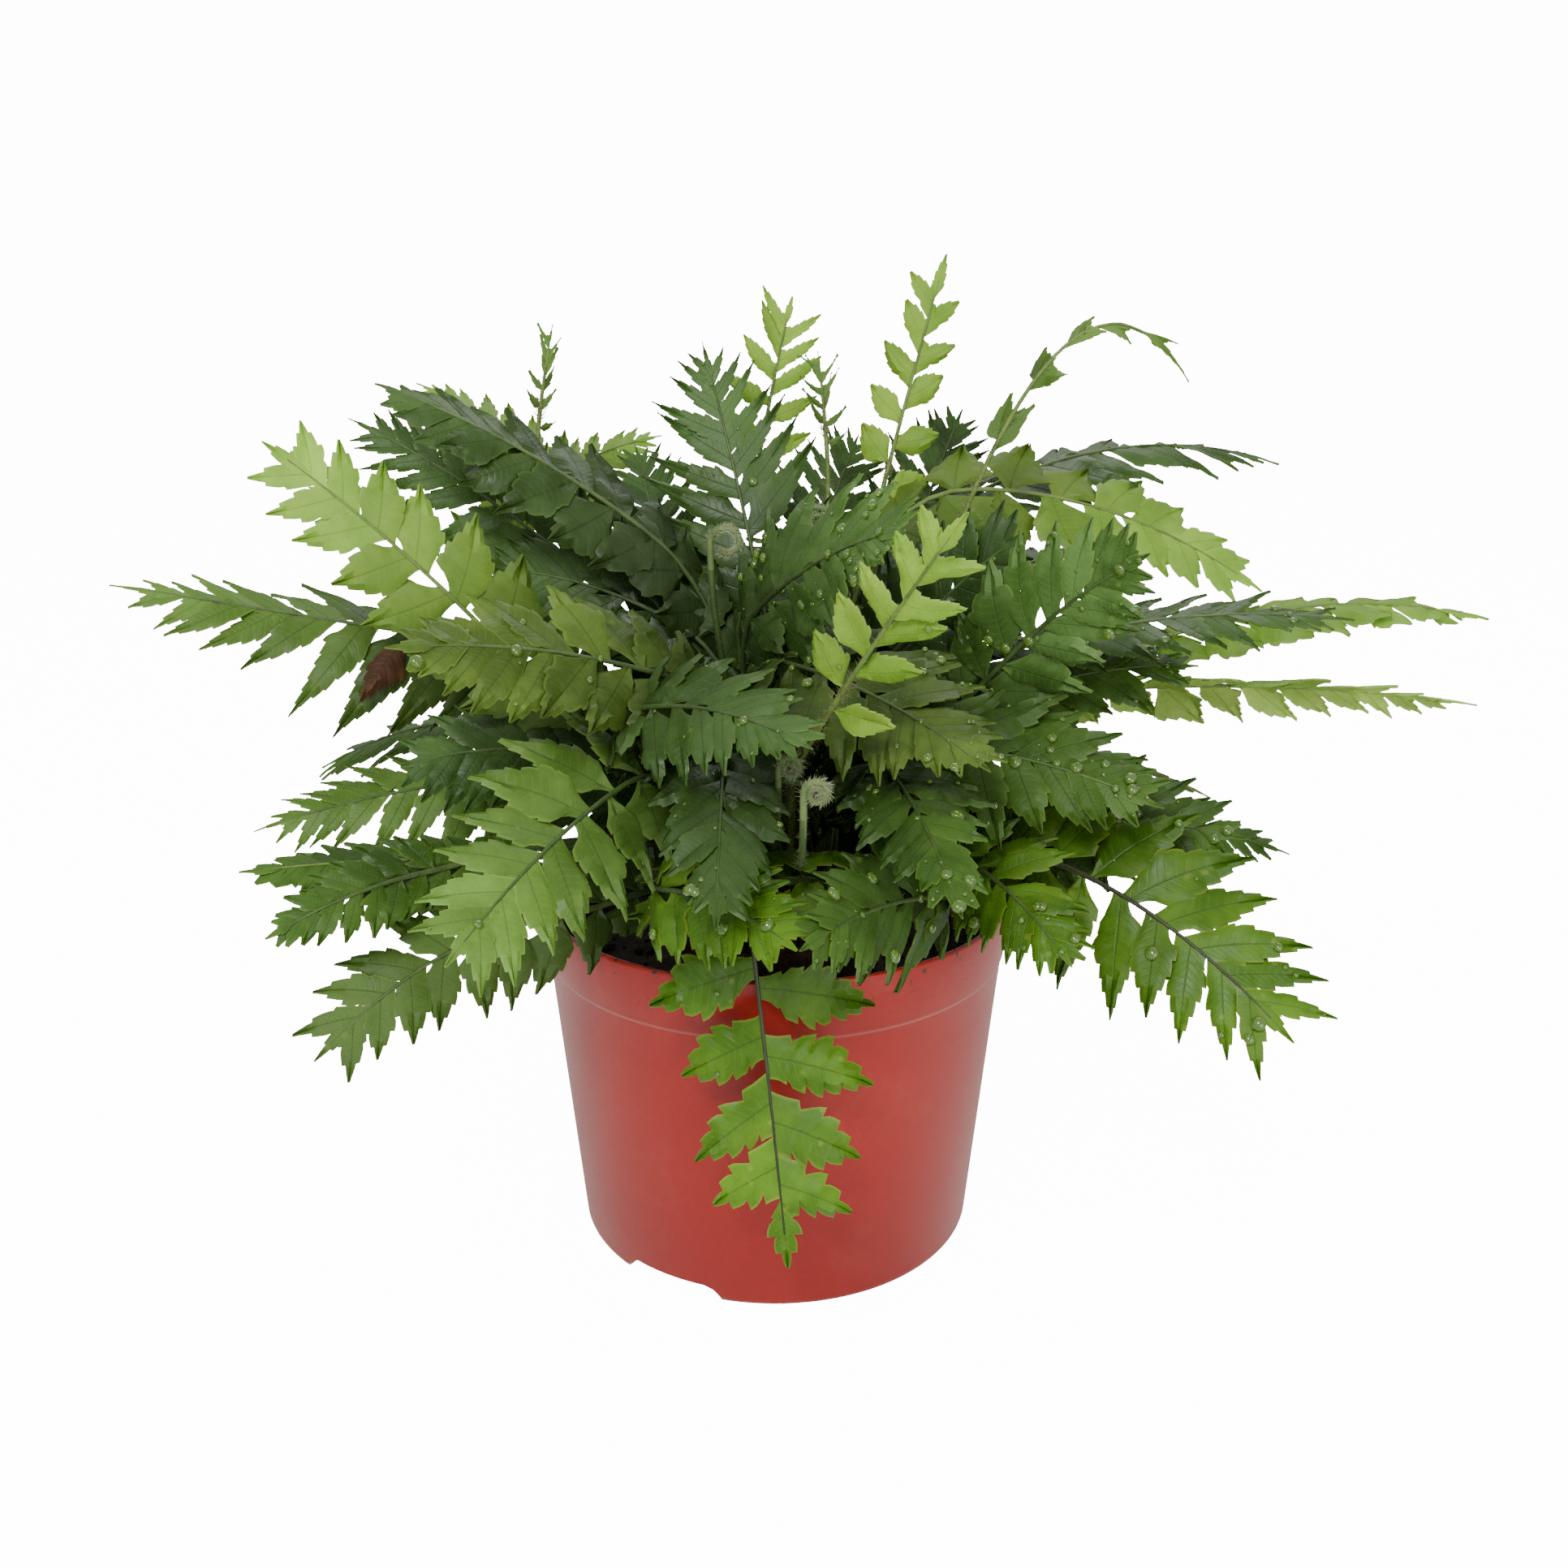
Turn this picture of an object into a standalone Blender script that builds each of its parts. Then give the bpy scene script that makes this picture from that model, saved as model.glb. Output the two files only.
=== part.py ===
"""A potted holly fern in a plastic nursery pot.

The pot, the soil and the crown are turned solids. Every frond is one closed thin solid: a stalk and a rib
with toothed leaflets, bent along a curve from its hole in the crown to its tip. Lengths are in
millimetres until the meshes are made. The pot stands on z = 0 and the viewer's side is -Y.
"""

import math

import bmesh
import bpy
import numpy as np
from mathutils import Matrix, Vector

MM = 0.001
GAP = 0.3
SLOT_GAP = 0.38

POT_HEIGHT = 91.5
POT_BAND_Z = 76.0
POT_BASE_R = 51.4
POT_FOOT_R = 50.4
POT_FOOT_EDGE = 2.0
POT_BAND_R = 58.5
POT_RIM_R = 60.3
POT_WALL = 1.1
POT_LIP = 1.6
POT_FLOOR_Z = 4.6
POT_SIDES = 36

FOOT_NOTCH_AZIMUTHS = (-121.0, 59.0)
FOOT_NOTCH_HALF_WIDTH = 11.5
FOOT_NOTCH_SLOPE = 2.5
FOOT_NOTCH_HEIGHT = 3.8

DRAIN_HOLES = 4
DRAIN_RING_R = 34.0
DRAIN_HOLE_R = 4.0

SOIL_TOP_Z = 78.0
SOIL_SIDES = 28

CROWN_R = 26.0
CROWN_TOP_Z = 87.0
CROWN_FOOT_Z = 62.0
CROWN_DOME = 4.0
CROWN_SIDES = 16
STALK_RING_R = 23.0
STALK_PITCH = 5.4
STALK_SPLAY = 0.85
SPREAD_STEPS = 200
SPREAD_SHARE = 0.4
SLOT_DEPTH = 5.0

STALK_SIDE = 2.2
RIB_SIDE = 1.2
BLADE_THICK = 0.9
EDGE_THICK = 0.6
STALK_STEPS = 3
STALK_RISE = 0.42
STALK_RUN_IN = 0.34
ROOT_CLEAR = 0.4
COLLAR_RISE = 1.5
RIB_FOOT_SHARE = 1.3
RIB_TIP_WIDTH = 0.8
LEAFLETS_END = 0.9
LEAFLET_CROWDING = 0.92
OPEN_RIB_SHARE = 0.42
FIRST_LEAFLET = 0.92
LEAFLET_HALF_GAP = 0.46
LEAFLET_CURVE = 0.14
LEAFLET_NARROWING = 0.45
LEAFLET_SWAY = 0.07
LEAFLET_TILT = 0.16
TILT_ONSET = 3.0
LOBE_SWEEP = 0.02
LOBE_CUT_SHARE = 0.7
QUARTER_TURN = math.pi / 2

CROZIER_TURNS = 1.15
CROZIER_STEPS = 8
CROZIER_STALK_STEPS = 6
CROZIER_TIP_WIDTH = 1.3
CROZIER_TIGHTENING = 0.55

LARGE = dict(lobes=(2, 2, 1, 1, 1, 0), spread=(60, 30), taper=0.8, open_rib=False)
SMALL = dict(lobes=(2, 1, 1, 1, 0), spread=(58, 32), taper=0.8, open_rib=False)
WIDE = dict(lobes=(2, 2, 1, 1, 1, 0), spread=(80, 46), taper=0.6, open_rib=False)
PLAIN = dict(lobes=(1, 1, 1, 0, 0), spread=(58, 32), taper=0.8, open_rib=False)
INNER = dict(lobes=(1, 1, 1, 0), spread=(58, 34), taper=0.75, open_rib=False)
LOOSE = dict(lobes=(3, 2, 2, 1, 1), spread=(72, 42), taper=0.55, open_rib=True)
YOUNG = dict(lobes=(1, 1, 1, 0), spread=(86, 60), taper=0.4, open_rib=True)
GROWN = (LARGE, WIDE, SMALL, PLAIN, INNER, LOOSE)

# name, blade base, tip, half width, arch, lean of the upper face to the viewer, droop of the sides, kind
FRONDS = (
    ("front_hanging", (-6, -62, 114), (3, -80, 32), 29, 5, 90, 0.10, LOOSE),
    ("young_front", (12, -76, 160), (33, -110, 203), 13, 1, 80, 0.05, YOUNG),
    ("young_tall", (27, 20, 190), (41, 25, 243), 11, 1, 80, 0.05, YOUNG),
    ("young_arched", (46, 0, 188), (93, 0, 222), 7, 44, 50, 0.05, YOUNG),
    ("front_right_big", (64, -60, 119), (103, -99, 98), 26, 8, 66, 0.12, WIDE),
    ("left_long", (-68, -8, 156), (-147, -30, 175), 24, 0, 30, 0.50, LARGE),
    ("top_middle", (-4, 8, 168), (-18, 32, 223), 25, 4, 80, 0.10, LARGE),
    ("right_long", (90, 5, 142), (168, -10, 142), 16, 4, -40, 0.25, LARGE),
    ("right_upper", (54, 30, 188), (139, 72, 189), 22, 15, 10, 0.25, LARGE),
    ("right_light", (50, 15, 190), (123, 22, 164), 19, 12, 40, 0.15, WIDE),
    ("left_upper", (-46, 12, 168), (-104, 20, 206), 24, 6, 50, 0.15, LARGE),
    ("left_pale", (-58, -33, 158), (-106, -45, 208), 20, 5, 60, 0.15, WIDE),
    ("left_droop", (-52, -52, 103), (-95, -86, 87), 19, 12, 66, 0.15, WIDE),
    ("front_left", (-32, -56, 137), (-60, -115, 122), 25, 6, 70, 0.10, WIDE),
    ("left_low", (-58, -10, 123), (-121, -30, 117), 21, 6, 40, 0.30, LARGE),
    ("centre_wet", (-3, -18, 168), (26, -62, 193), 24, 6, 55, 0.10, SMALL),
    ("front_right_mid", (24, -38, 140), (80, -70, 137), 24, 8, 45, 0.15, SMALL),
    ("front_olive", (2, -32, 158), (42, -85, 150), 23, 6, 50, 0.15, SMALL),
    ("right_mid", (62, -10, 157), (130, -28, 167), 21, 7, 12, 0.15, LARGE),
    ("right_far", (108, 26, 152), (182, 22, 156), 16, 10, 8, 0.10, SMALL),
    ("left_edge", (-32, 0, 183), (-90, -8, 217), 20, 6, 30, 0.30, SMALL),
    ("left_low_pale", (-66, -48, 116), (-112, -70, 122), 14, 2, 22, 0.25, SMALL),
    ("left_olive", (-26, -42, 158), (-76, -75, 172), 20, 5, 45, 0.10, SMALL),
    ("front_middle", (-11, -42, 142), (-11, -100, 123), 20, 8, 36, 0.10, SMALL),
    ("front_turned", (38, -60, 112), (6, -105, 120), 19, 6, 70, 0.15, SMALL),
    ("front_right_tip", (42, -58, 120), (60, -90, 110), 16, 5, 70, 0.20, SMALL),
    ("front_down", (24, -50, 139), (36, -104, 127), 17, 8, 50, 0.15, SMALL),
    ("front_blue", (-28, -52, 153), (7, -84, 154), 18, 6, 44, 0.15, SMALL),
    ("front_low_left", (-23, -68, 117), (4, -98, 117), 16, 5, 56, 0.10, INNER),
    ("right_front", (48, -35, 120), (101, -60, 126), 20, 6, 50, 0.15, SMALL),
    ("right_inner", (50, -12, 142), (98, -20, 154), 19, 6, 25, 0.20, SMALL),
    ("right_up", (50, -30, 155), (76, -62, 188), 20, 5, 72, 0.10, SMALL),
    ("right_low_back", (72, 34, 118), (124, 55, 96), 13, 5, -8, 0.10, PLAIN),
    ("right_low", (76, 8, 104), (135, 15, 94), 16, 8, 30, 0.25, PLAIN),
    ("top_right_back", (34, 30, 168), (49, 50, 205), 19, 4, 70, 0.10, PLAIN),
    ("top_back", (10, 34, 168), (22, 55, 198), 20, 4, 70, 0.10, PLAIN),
    ("top_left_back", (-28, 24, 164), (-37, 48, 196), 18, 4, 70, 0.10, PLAIN),
    ("middle_left", (-24, -2, 160), (-68, 4, 172), 21, 6, 60, 0.10, INNER),
    ("middle_right", (24, -16, 152), (55, -28, 186), 21, 4, 58, 0.10, INNER),
    ("middle_low_left", (-40, -28, 134), (-82, -46, 138), 19, 6, 50, 0.10, INNER),
    ("left_low_tip", (-77, -64, 119), (-103, -86, 114), 11, 3, 60, 0.15, SMALL),
    ("middle_centre", (-10, 12, 143), (-19, 22, 176), 17, 3, 76, 0.10, INNER),
    ("back_left_pale", (-58, 58, 184), (-101, 85, 209), 18, 6, 20, 0.15, PLAIN),
    ("back_top", (-74, 60, 178), (-34, 90, 194), 16, 6, 40, 0.15, PLAIN),
    ("back_middle", (5, 60, 150), (10, 140, 160), 30, 10, 0, 0.15, LARGE),
    ("back_low_left", (-38, 62, 125), (-66, 134, 108), 26, 10, -10, 0.15, PLAIN),
    ("back_low_right", (32, 62, 122), (56, 136, 104), 26, 10, -10, 0.15, PLAIN),
    ("back_right", (55, 65, 152), (108, 118, 156), 25, 10, 0, 0.15, PLAIN),
    ("back_left_low", (-73, 35, 125), (-129, 56, 105), 24, 8, 10, 0.15, PLAIN),
    ("back_hanging", (0, 62, 112), (0, 100, 60), 22, 6, -60, 0.15, PLAIN),
    ("young_top", (-4, 45, 196), (4, 48, 233), 14, 2, 80, 0.05, YOUNG),
    ("young_curled", (-62, 45, 203), (-58, 48, 226), 6, 2, 70, 0.05, YOUNG),
    ("young_dark", (13, 35, 200), (11, 40, 220), 8, 2, 70, 0.05, YOUNG),
)

# name, point where the roll begins, way that the roll turns (+1 to the right), roll radius
CROZIERS = (
    ("crozier_left", (-14, -36, 186), 1, 4.5),
    ("crozier_middle", (14, 0, 184), -1, 5.0),
    ("crozier_front", (6, -95, 148), 1, 4.5),
    ("crozier_low", (1, -64, 143), 1, 4.0),
)

POT_RED = (0.55, 0.072, 0.05)
SOIL_BROWN = (0.035, 0.022, 0.014)
CROWN_BROWN = (0.09, 0.05, 0.025)
LEAF_GREEN = (0.045, 0.13, 0.03)
YOUNG_GREEN = (0.22, 0.42, 0.08)


def clear_scene():
    for old in list(bpy.data.objects):
        bpy.data.objects.remove(old, do_unlink=True)


def finish(name, colour, roughness):
    """A plain Principled material."""
    material = bpy.data.materials.new(name)
    material.use_nodes = True
    shader = material.node_tree.nodes["Principled BSDF"]
    shader.inputs["Base Color"].default_value = (*colour, 1.0)
    shader.inputs["Roughness"].default_value = roughness
    shader.inputs["Metallic"].default_value = 0.0
    return material


def add_object(name, mesh, material):
    made = bpy.data.objects.new(name, mesh)
    mesh.materials.append(material)
    bpy.context.scene.collection.objects.link(made)
    return made


def turned(name, profile, sides, material):
    """A closed solid turned about Z from a profile that starts and ends on the axis, underside first."""
    mesh = bpy.data.meshes.new(name)
    shape = bmesh.new()
    corners = [shape.verts.new((radius * MM, 0.0, height * MM)) for radius, height in profile]
    edges = [shape.edges.new(pair) for pair in zip(corners, corners[1:])]
    bmesh.ops.spin(
        shape,
        geom=corners + edges,
        cent=(0, 0, 0),
        axis=(0, 0, 1),
        angle=2 * math.pi,
        steps=sides,
        use_merge=True,
    )
    bmesh.ops.remove_doubles(shape, verts=shape.verts, dist=1e-6)
    bmesh.ops.recalc_face_normals(shape, faces=shape.faces)
    shape.to_mesh(mesh)
    shape.free()
    return add_object(name, mesh, material)


def cut(target, cutter):
    """Take the cutter's volume out of the target and remove the cutter."""
    step = target.modifiers.new("cut", "BOOLEAN")
    step.operation = "DIFFERENCE"
    step.solver = "EXACT"
    step.object = cutter
    graph = bpy.context.evaluated_depsgraph_get()
    result = bpy.data.meshes.new_from_object(target.evaluated_get(graph))
    target.modifiers.clear()
    target.data = result
    bpy.data.objects.remove(cutter, do_unlink=True)


def prisms(name, outlines):
    """Closed prisms in one object. An outline is (corners, thickness vector)."""
    mesh = bpy.data.meshes.new(name)
    shape = bmesh.new()
    for corners, push in outlines:
        face = shape.faces.new([shape.verts.new(Vector(corner) * MM) for corner in corners])
        grown = bmesh.ops.extrude_face_region(shape, geom=[face])["geom"]
        moved = [item for item in grown if isinstance(item, bmesh.types.BMVert)]
        bmesh.ops.translate(shape, verts=moved, vec=Vector(push) * MM)
    bmesh.ops.recalc_face_normals(shape, faces=shape.faces)
    shape.to_mesh(mesh)
    shape.free()
    made = bpy.data.objects.new(name, mesh)
    made.hide_render = True
    made.display_type = "WIRE"
    bpy.context.scene.collection.objects.link(made)
    return made


def build_pot():
    inner_base = POT_BASE_R - POT_WALL
    inner_band = POT_BAND_R - POT_WALL
    profile = (
        (0.0, POT_FLOOR_Z),
        (POT_FOOT_R - POT_LIP, POT_FLOOR_Z),
        (POT_FOOT_R - POT_LIP, 0.0),
        (POT_FOOT_R, 0.0),
        (POT_BASE_R, POT_FOOT_EDGE),
        (POT_BAND_R - 0.2, POT_BAND_Z),
        (POT_BAND_R + 0.3, POT_BAND_Z + 0.6),
        (POT_RIM_R, POT_HEIGHT),
        (POT_RIM_R - POT_LIP, POT_HEIGHT),
        (inner_band, POT_BAND_Z),
        (inner_base, POT_FLOOR_Z + POT_WALL),
        (0.0, POT_FLOOR_Z + POT_WALL),
    )
    pot = turned("pot", profile, POT_SIDES, finish("pot_plastic", POT_RED, 0.38))
    outlines = []
    for azimuth in FOOT_NOTCH_AZIMUTHS:
        out = Vector((math.cos(math.radians(azimuth)), math.sin(math.radians(azimuth)), 0.0))
        side = Vector((-out.y, out.x, 0.0))
        low = FOOT_NOTCH_HALF_WIDTH + FOOT_NOTCH_SLOPE
        high = FOOT_NOTCH_HALF_WIDTH
        start = out * (POT_BASE_R - 12.0)
        corners = [
            start - side * low - Vector((0, 0, 1.0)),
            start + side * low - Vector((0, 0, 1.0)),
            start + side * high + Vector((0, 0, FOOT_NOTCH_HEIGHT)),
            start - side * high + Vector((0, 0, FOOT_NOTCH_HEIGHT)),
        ]
        outlines.append((corners, out * 16.0))
    for hole in range(DRAIN_HOLES):
        turn = 2 * math.pi * (hole + 0.3) / DRAIN_HOLES
        centre = Vector((math.cos(turn), math.sin(turn), 0.0)) * DRAIN_RING_R
        corners = []
        for corner in range(6):
            angle = turn + math.pi * corner / 3
            edge = Vector((math.cos(angle), math.sin(angle), 0.0)) * DRAIN_HOLE_R
            corners.append(centre + edge + Vector((0, 0, POT_FLOOR_Z - 1.0)))
        outlines.append((corners, (0, 0, POT_WALL + 2.0)))
    cut(pot, prisms("pot_cutters", outlines))
    return pot


def build_soil():
    flat_share = math.cos(math.pi / POT_SIDES)
    low_r = (POT_BASE_R - POT_WALL) * flat_share - GAP
    top_r = (POT_BAND_R - POT_WALL) * flat_share - GAP
    profile = (
        (0.0, POT_FLOOR_Z + POT_WALL + GAP),
        (low_r, POT_FLOOR_Z + POT_WALL + GAP),
        (top_r - 0.1, POT_BAND_Z - 1.0),
        (top_r, SOIL_TOP_Z - 1.5),
        (CROWN_R + 12.0, SOIL_TOP_Z),
        (CROWN_R + 0.6, SOIL_TOP_Z + 1.0),
        (CROWN_R - 5.0 + GAP, CROWN_FOOT_Z - GAP),
        (0.0, CROWN_FOOT_Z - GAP),
    )
    return turned("soil", profile, SOIL_SIDES, finish("soil_peat", SOIL_BROWN, 0.95))


def stalk_places(bases):
    """Where each stalk stands in the crown: towards its blade, steep stalks inside, then spread evenly."""
    places = []
    for index, (x, y, z) in enumerate(bases):
        flat = math.hypot(x, y)
        radius = STALK_RING_R * min(1.0, STALK_SPLAY * math.sqrt(flat / (z - CROWN_TOP_Z)))
        nudge = 0.1 * np.array((math.cos(index), math.sin(index)))
        places.append(np.array((x, y)) / flat * radius + nudge)
    places = np.array(places)
    for step in range(SPREAD_STEPS):
        apart = places[:, None] - places[None]
        distance = np.linalg.norm(apart, axis=2)
        np.fill_diagonal(distance, STALK_PITCH)
        push = np.maximum(0.0, STALK_PITCH - distance) / distance
        places = places + SPREAD_SHARE * (apart * push[..., None]).sum(axis=1)
        radius = np.linalg.norm(places, axis=1)
        places = places * np.minimum(1.0, STALK_RING_R / radius)[:, None]
    return list(places)


def crown_height(radius):
    return CROWN_TOP_Z - CROWN_DOME * (radius / CROWN_R) ** 2


def unit(vector):
    return vector / np.linalg.norm(vector)


def bezier(points, shares):
    """Points on a Bezier curve at the given shares of its length."""
    shares = np.asarray(shares, float)[:, None]
    degree = len(points) - 1
    total = 0.0
    for index, point in enumerate(points):
        total = total + math.comb(degree, index) * shares**index * (1 - shares) ** (degree - index) * point
    return total


def bezier_slope(points, shares):
    steps = [(after - before) * (len(points) - 1) for before, after in zip(points, points[1:])]
    return bezier(steps, shares)


class Frond:
    """The curve that a frond follows, and the surface that its blade lies in."""

    def __init__(self, spec, slot):
        name, base, tip, half_width, arch, lean, droop, kind = spec
        self.name = name
        self.kind = kind
        self.half_width = half_width
        self.droop = droop
        self.base = np.array(base, float)
        self.tip = np.array(tip, float)
        tilt = math.radians(lean)
        self.face = np.array((0.0, -math.sin(tilt), math.cos(tilt)))
        self.length = np.linalg.norm(self.tip - self.base)
        middle = (self.base + self.tip) / 2 + np.array((0.0, 0.0, arch))
        self.blade = [self.base, middle, self.tip]
        top = crown_height(math.hypot(*slot))
        self.root = np.array((slot[0], slot[1], top - SLOT_DEPTH + ROOT_CLEAR))
        self.collar = np.array((slot[0], slot[1], top + COLLAR_RISE))
        way = unit(self.blade[1] - self.blade[0])
        reach = np.linalg.norm(self.base - self.collar)
        self.stalk = [
            self.collar,
            self.collar + np.array((0.0, 0.0, reach * STALK_RISE)),
            self.base - way * reach * STALK_RUN_IN,
            self.base,
        ]

    def frame(self, slopes, faces):
        ways = slopes / np.linalg.norm(slopes, axis=1)[:, None]
        sides = np.cross(ways, faces)
        sides /= np.linalg.norm(sides, axis=1)[:, None]
        return sides, np.cross(sides, ways)

    def stalk_frame(self, slopes):
        """Sides and normals up the stalk, carried down from the blade's foot with the least twist.

        What is left to turn, so that the square section fits its hole, is shared out between the stations.
        """
        ways = slopes / np.linalg.norm(slopes, axis=1)[:, None]
        foot_slope = bezier_slope(self.blade, [0.0])
        side = self.frame(foot_slope, self.face)[0][0]
        before = unit(foot_slope[0])
        sides = np.zeros_like(ways)
        for step in reversed(range(len(ways))):
            axis = np.cross(before, ways[step])
            agree = before @ ways[step]
            side = unit(side * agree + np.cross(axis, side) + axis * (axis @ side) / (1.0 + agree))
            sides[step] = side
            before = ways[step]
        angle = math.atan2(sides[0][1], sides[0][0])
        left_over = round(angle / QUARTER_TURN) * QUARTER_TURN - angle
        for step in range(len(ways)):
            turn = Matrix.Rotation(left_over * (1.0 - step / len(ways)), 3, Vector(ways[step]))
            sides[step] = np.array(turn) @ sides[step]
        return sides, np.cross(sides, ways)

    def surface(self, along, across, sway, tilt, stand):
        """Points of the blade, and its normals, at lengths along and across it."""
        along = np.asarray(along, float)
        across = np.asarray(across, float)
        share = along / self.length
        centre = bezier(self.blade, share)
        sides, normals = self.frame(bezier_slope(self.blade, share), self.face)
        out = np.abs(across) / self.half_width
        height = self.half_width * (sway * out - self.droop * out * (0.5 + 0.5 * out))
        height = height + np.asarray(tilt) * np.asarray(stand) * np.minimum(1.0, out * TILT_ONSET)
        points = centre + sides * across[:, None] + normals * height[:, None]
        return points, normals


def leaflet_rule(frond, index, side):
    """Sway and tilt of one leaflet, so that neighbours catch the light differently."""
    seed = sum(ord(letter) for letter in frond.name)
    phase = seed * 0.7 + index * 2.4 + side * 1.3
    return LEAFLET_SWAY * math.sin(phase), LEAFLET_TILT * math.sin(phase * 1.7 + 0.6)


class Sheet:
    """The outline of a frond: points with normals and half thicknesses, and the faces between them."""

    def __init__(self):
        self.points = []
        self.normals = []
        self.halves = []
        self.faces = []

    def add(self, points, normals, half):
        first = len(self.points)
        self.points.extend(points)
        self.normals.extend(normals)
        self.halves.extend([half] * len(points))
        return list(range(first, len(self.points)))

    def face(self, *corners):
        self.faces.append(corners)


def add_leaflet(sheet, frond, index, side, low, high, place, size):
    """One leaflet between two rib points: cut pairs along its midrib, a lobe at each side, and an apex."""
    lobes = frond.kind["lobes"][index]
    angle, reach, half = size
    sway, tilt = leaflet_rule(frond, index, side)
    cosine, sine = math.cos(angle), math.sin(angle)

    def spot(out, off, thick):
        """A point at a length out along the midrib and off it, off > 0 towards the frond's tip."""
        curve = LEAFLET_CURVE * reach * (out / reach) ** 2
        along = place + out * cosine + off * sine + curve
        across = out * sine - off * cosine
        points, normals = frond.surface([along], [side * across], sway, tilt, [off])
        return sheet.add(points, normals, thick / 2)[0]

    def face(*corners):
        sheet.face(*(corners if side > 0 else corners[::-1]))

    pair = (low, high)
    for lobe in range(lobes):
        outer = reach * (lobe + 1) / (lobes + 0.8)
        width = half * (1.0 - LEAFLET_NARROWING * lobe / lobes)
        tip_out = outer - LOBE_SWEEP * reach
        cut_width = width * LOBE_CUT_SHARE
        tips = [spot(tip_out, -width, EDGE_THICK), spot(tip_out, width, EDGE_THICK)]
        cuts = [spot(outer, -cut_width, BLADE_THICK), spot(outer, cut_width, BLADE_THICK)]
        face(pair[0], tips[0], cuts[0])
        face(pair[1], cuts[1], tips[1])
        face(pair[0], cuts[0], cuts[1])
        face(pair[0], cuts[1], pair[1])
        pair = (cuts[0], cuts[1])
    apex = spot(reach, 0.0, EDGE_THICK)
    face(pair[0], apex, pair[1])


def frond_sheet(spec, slot):
    """Stalk, rib and leaflets as one flat outline laid on the frond's surface."""
    frond = Frond(spec, slot)
    sheet = Sheet()
    rail_left = []
    rail_right = []
    shares = np.linspace(0.0, 1.0, STALK_STEPS + 1)[:-1]
    centres = np.vstack([frond.root[None], bezier(frond.stalk, shares)])
    slopes = np.vstack([[(0.0, 0.0, 1.0)], bezier_slope(frond.stalk, shares)])
    sides, normals = frond.stalk_frame(slopes)
    for step in range(len(centres)):
        share = step / len(centres)
        half = (STALK_SIDE * (1 - share) + RIB_SIDE * RIB_FOOT_SHARE * share) / 2
        left = centres[step] - sides[step] * half
        right = centres[step] + sides[step] * half
        added = sheet.add([left, right], [normals[step]] * 2, half)
        rail_left.append(added[0])
        rail_right.append(added[1])

    count = len(frond.kind["lobes"])
    steep, flat = frond.kind["spread"]
    open_rib = frond.kind["open_rib"]
    shares = LEAFLETS_END * (np.arange(count + 1) / count) ** LEAFLET_CROWDING
    leaflets = []
    for index in range(count):
        start, end = shares[index] * frond.length, shares[index + 1] * frond.length
        if open_rib:
            end = start + OPEN_RIB_SHARE * (end - start)
        level = index / (count - 1)
        angle = math.radians(steep + (flat - steep) * level)
        grow = 1.0 - frond.kind["taper"] * level**1.15
        if index == 0:
            grow *= FIRST_LEAFLET
        reach = frond.half_width * grow / math.sin(angle)
        gap = (shares[index + 1] - shares[index]) * frond.length
        half = LEAFLET_HALF_GAP * gap * math.sin(angle)
        stations = []
        for along in (start, end):
            share = along / frond.length
            wide = (RIB_SIDE * RIB_FOOT_SHARE * (1 - share) + RIB_TIP_WIDTH * share) / 2
            points, normals = frond.surface([along, along], [-wide, wide], 0.0, 0.0, [0.0, 0.0])
            stations.append((points, normals, wide))
        if open_rib or index == 0:
            added = sheet.add(stations[0][0], stations[0][1], stations[0][2])
            rail_left.append(added[0])
            rail_right.append(added[1])
        added = sheet.add(stations[1][0], stations[1][1], stations[1][2])
        rail_left.append(added[0])
        rail_right.append(added[1])
        place = (start + end) / 2
        leaflets.append((index, len(rail_left) - 2, place, (angle, reach, half)))
    tip = sheet.add([bezier(frond.blade, [1.0])[0]], [normals[0]], EDGE_THICK / 2)[0]

    for lower in range(len(rail_left) - 1):
        sheet.face(rail_left[lower], rail_right[lower], rail_right[lower + 1])
        sheet.face(rail_left[lower], rail_right[lower + 1], rail_left[lower + 1])
    sheet.face(rail_left[-1], rail_right[-1], tip)
    for index, rail, place, size in leaflets:
        add_leaflet(sheet, frond, index, 1, rail_right[rail], rail_right[rail + 1], place, size)
        add_leaflet(sheet, frond, index, -1, rail_left[rail], rail_left[rail + 1], place, size)
    return sheet


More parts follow.
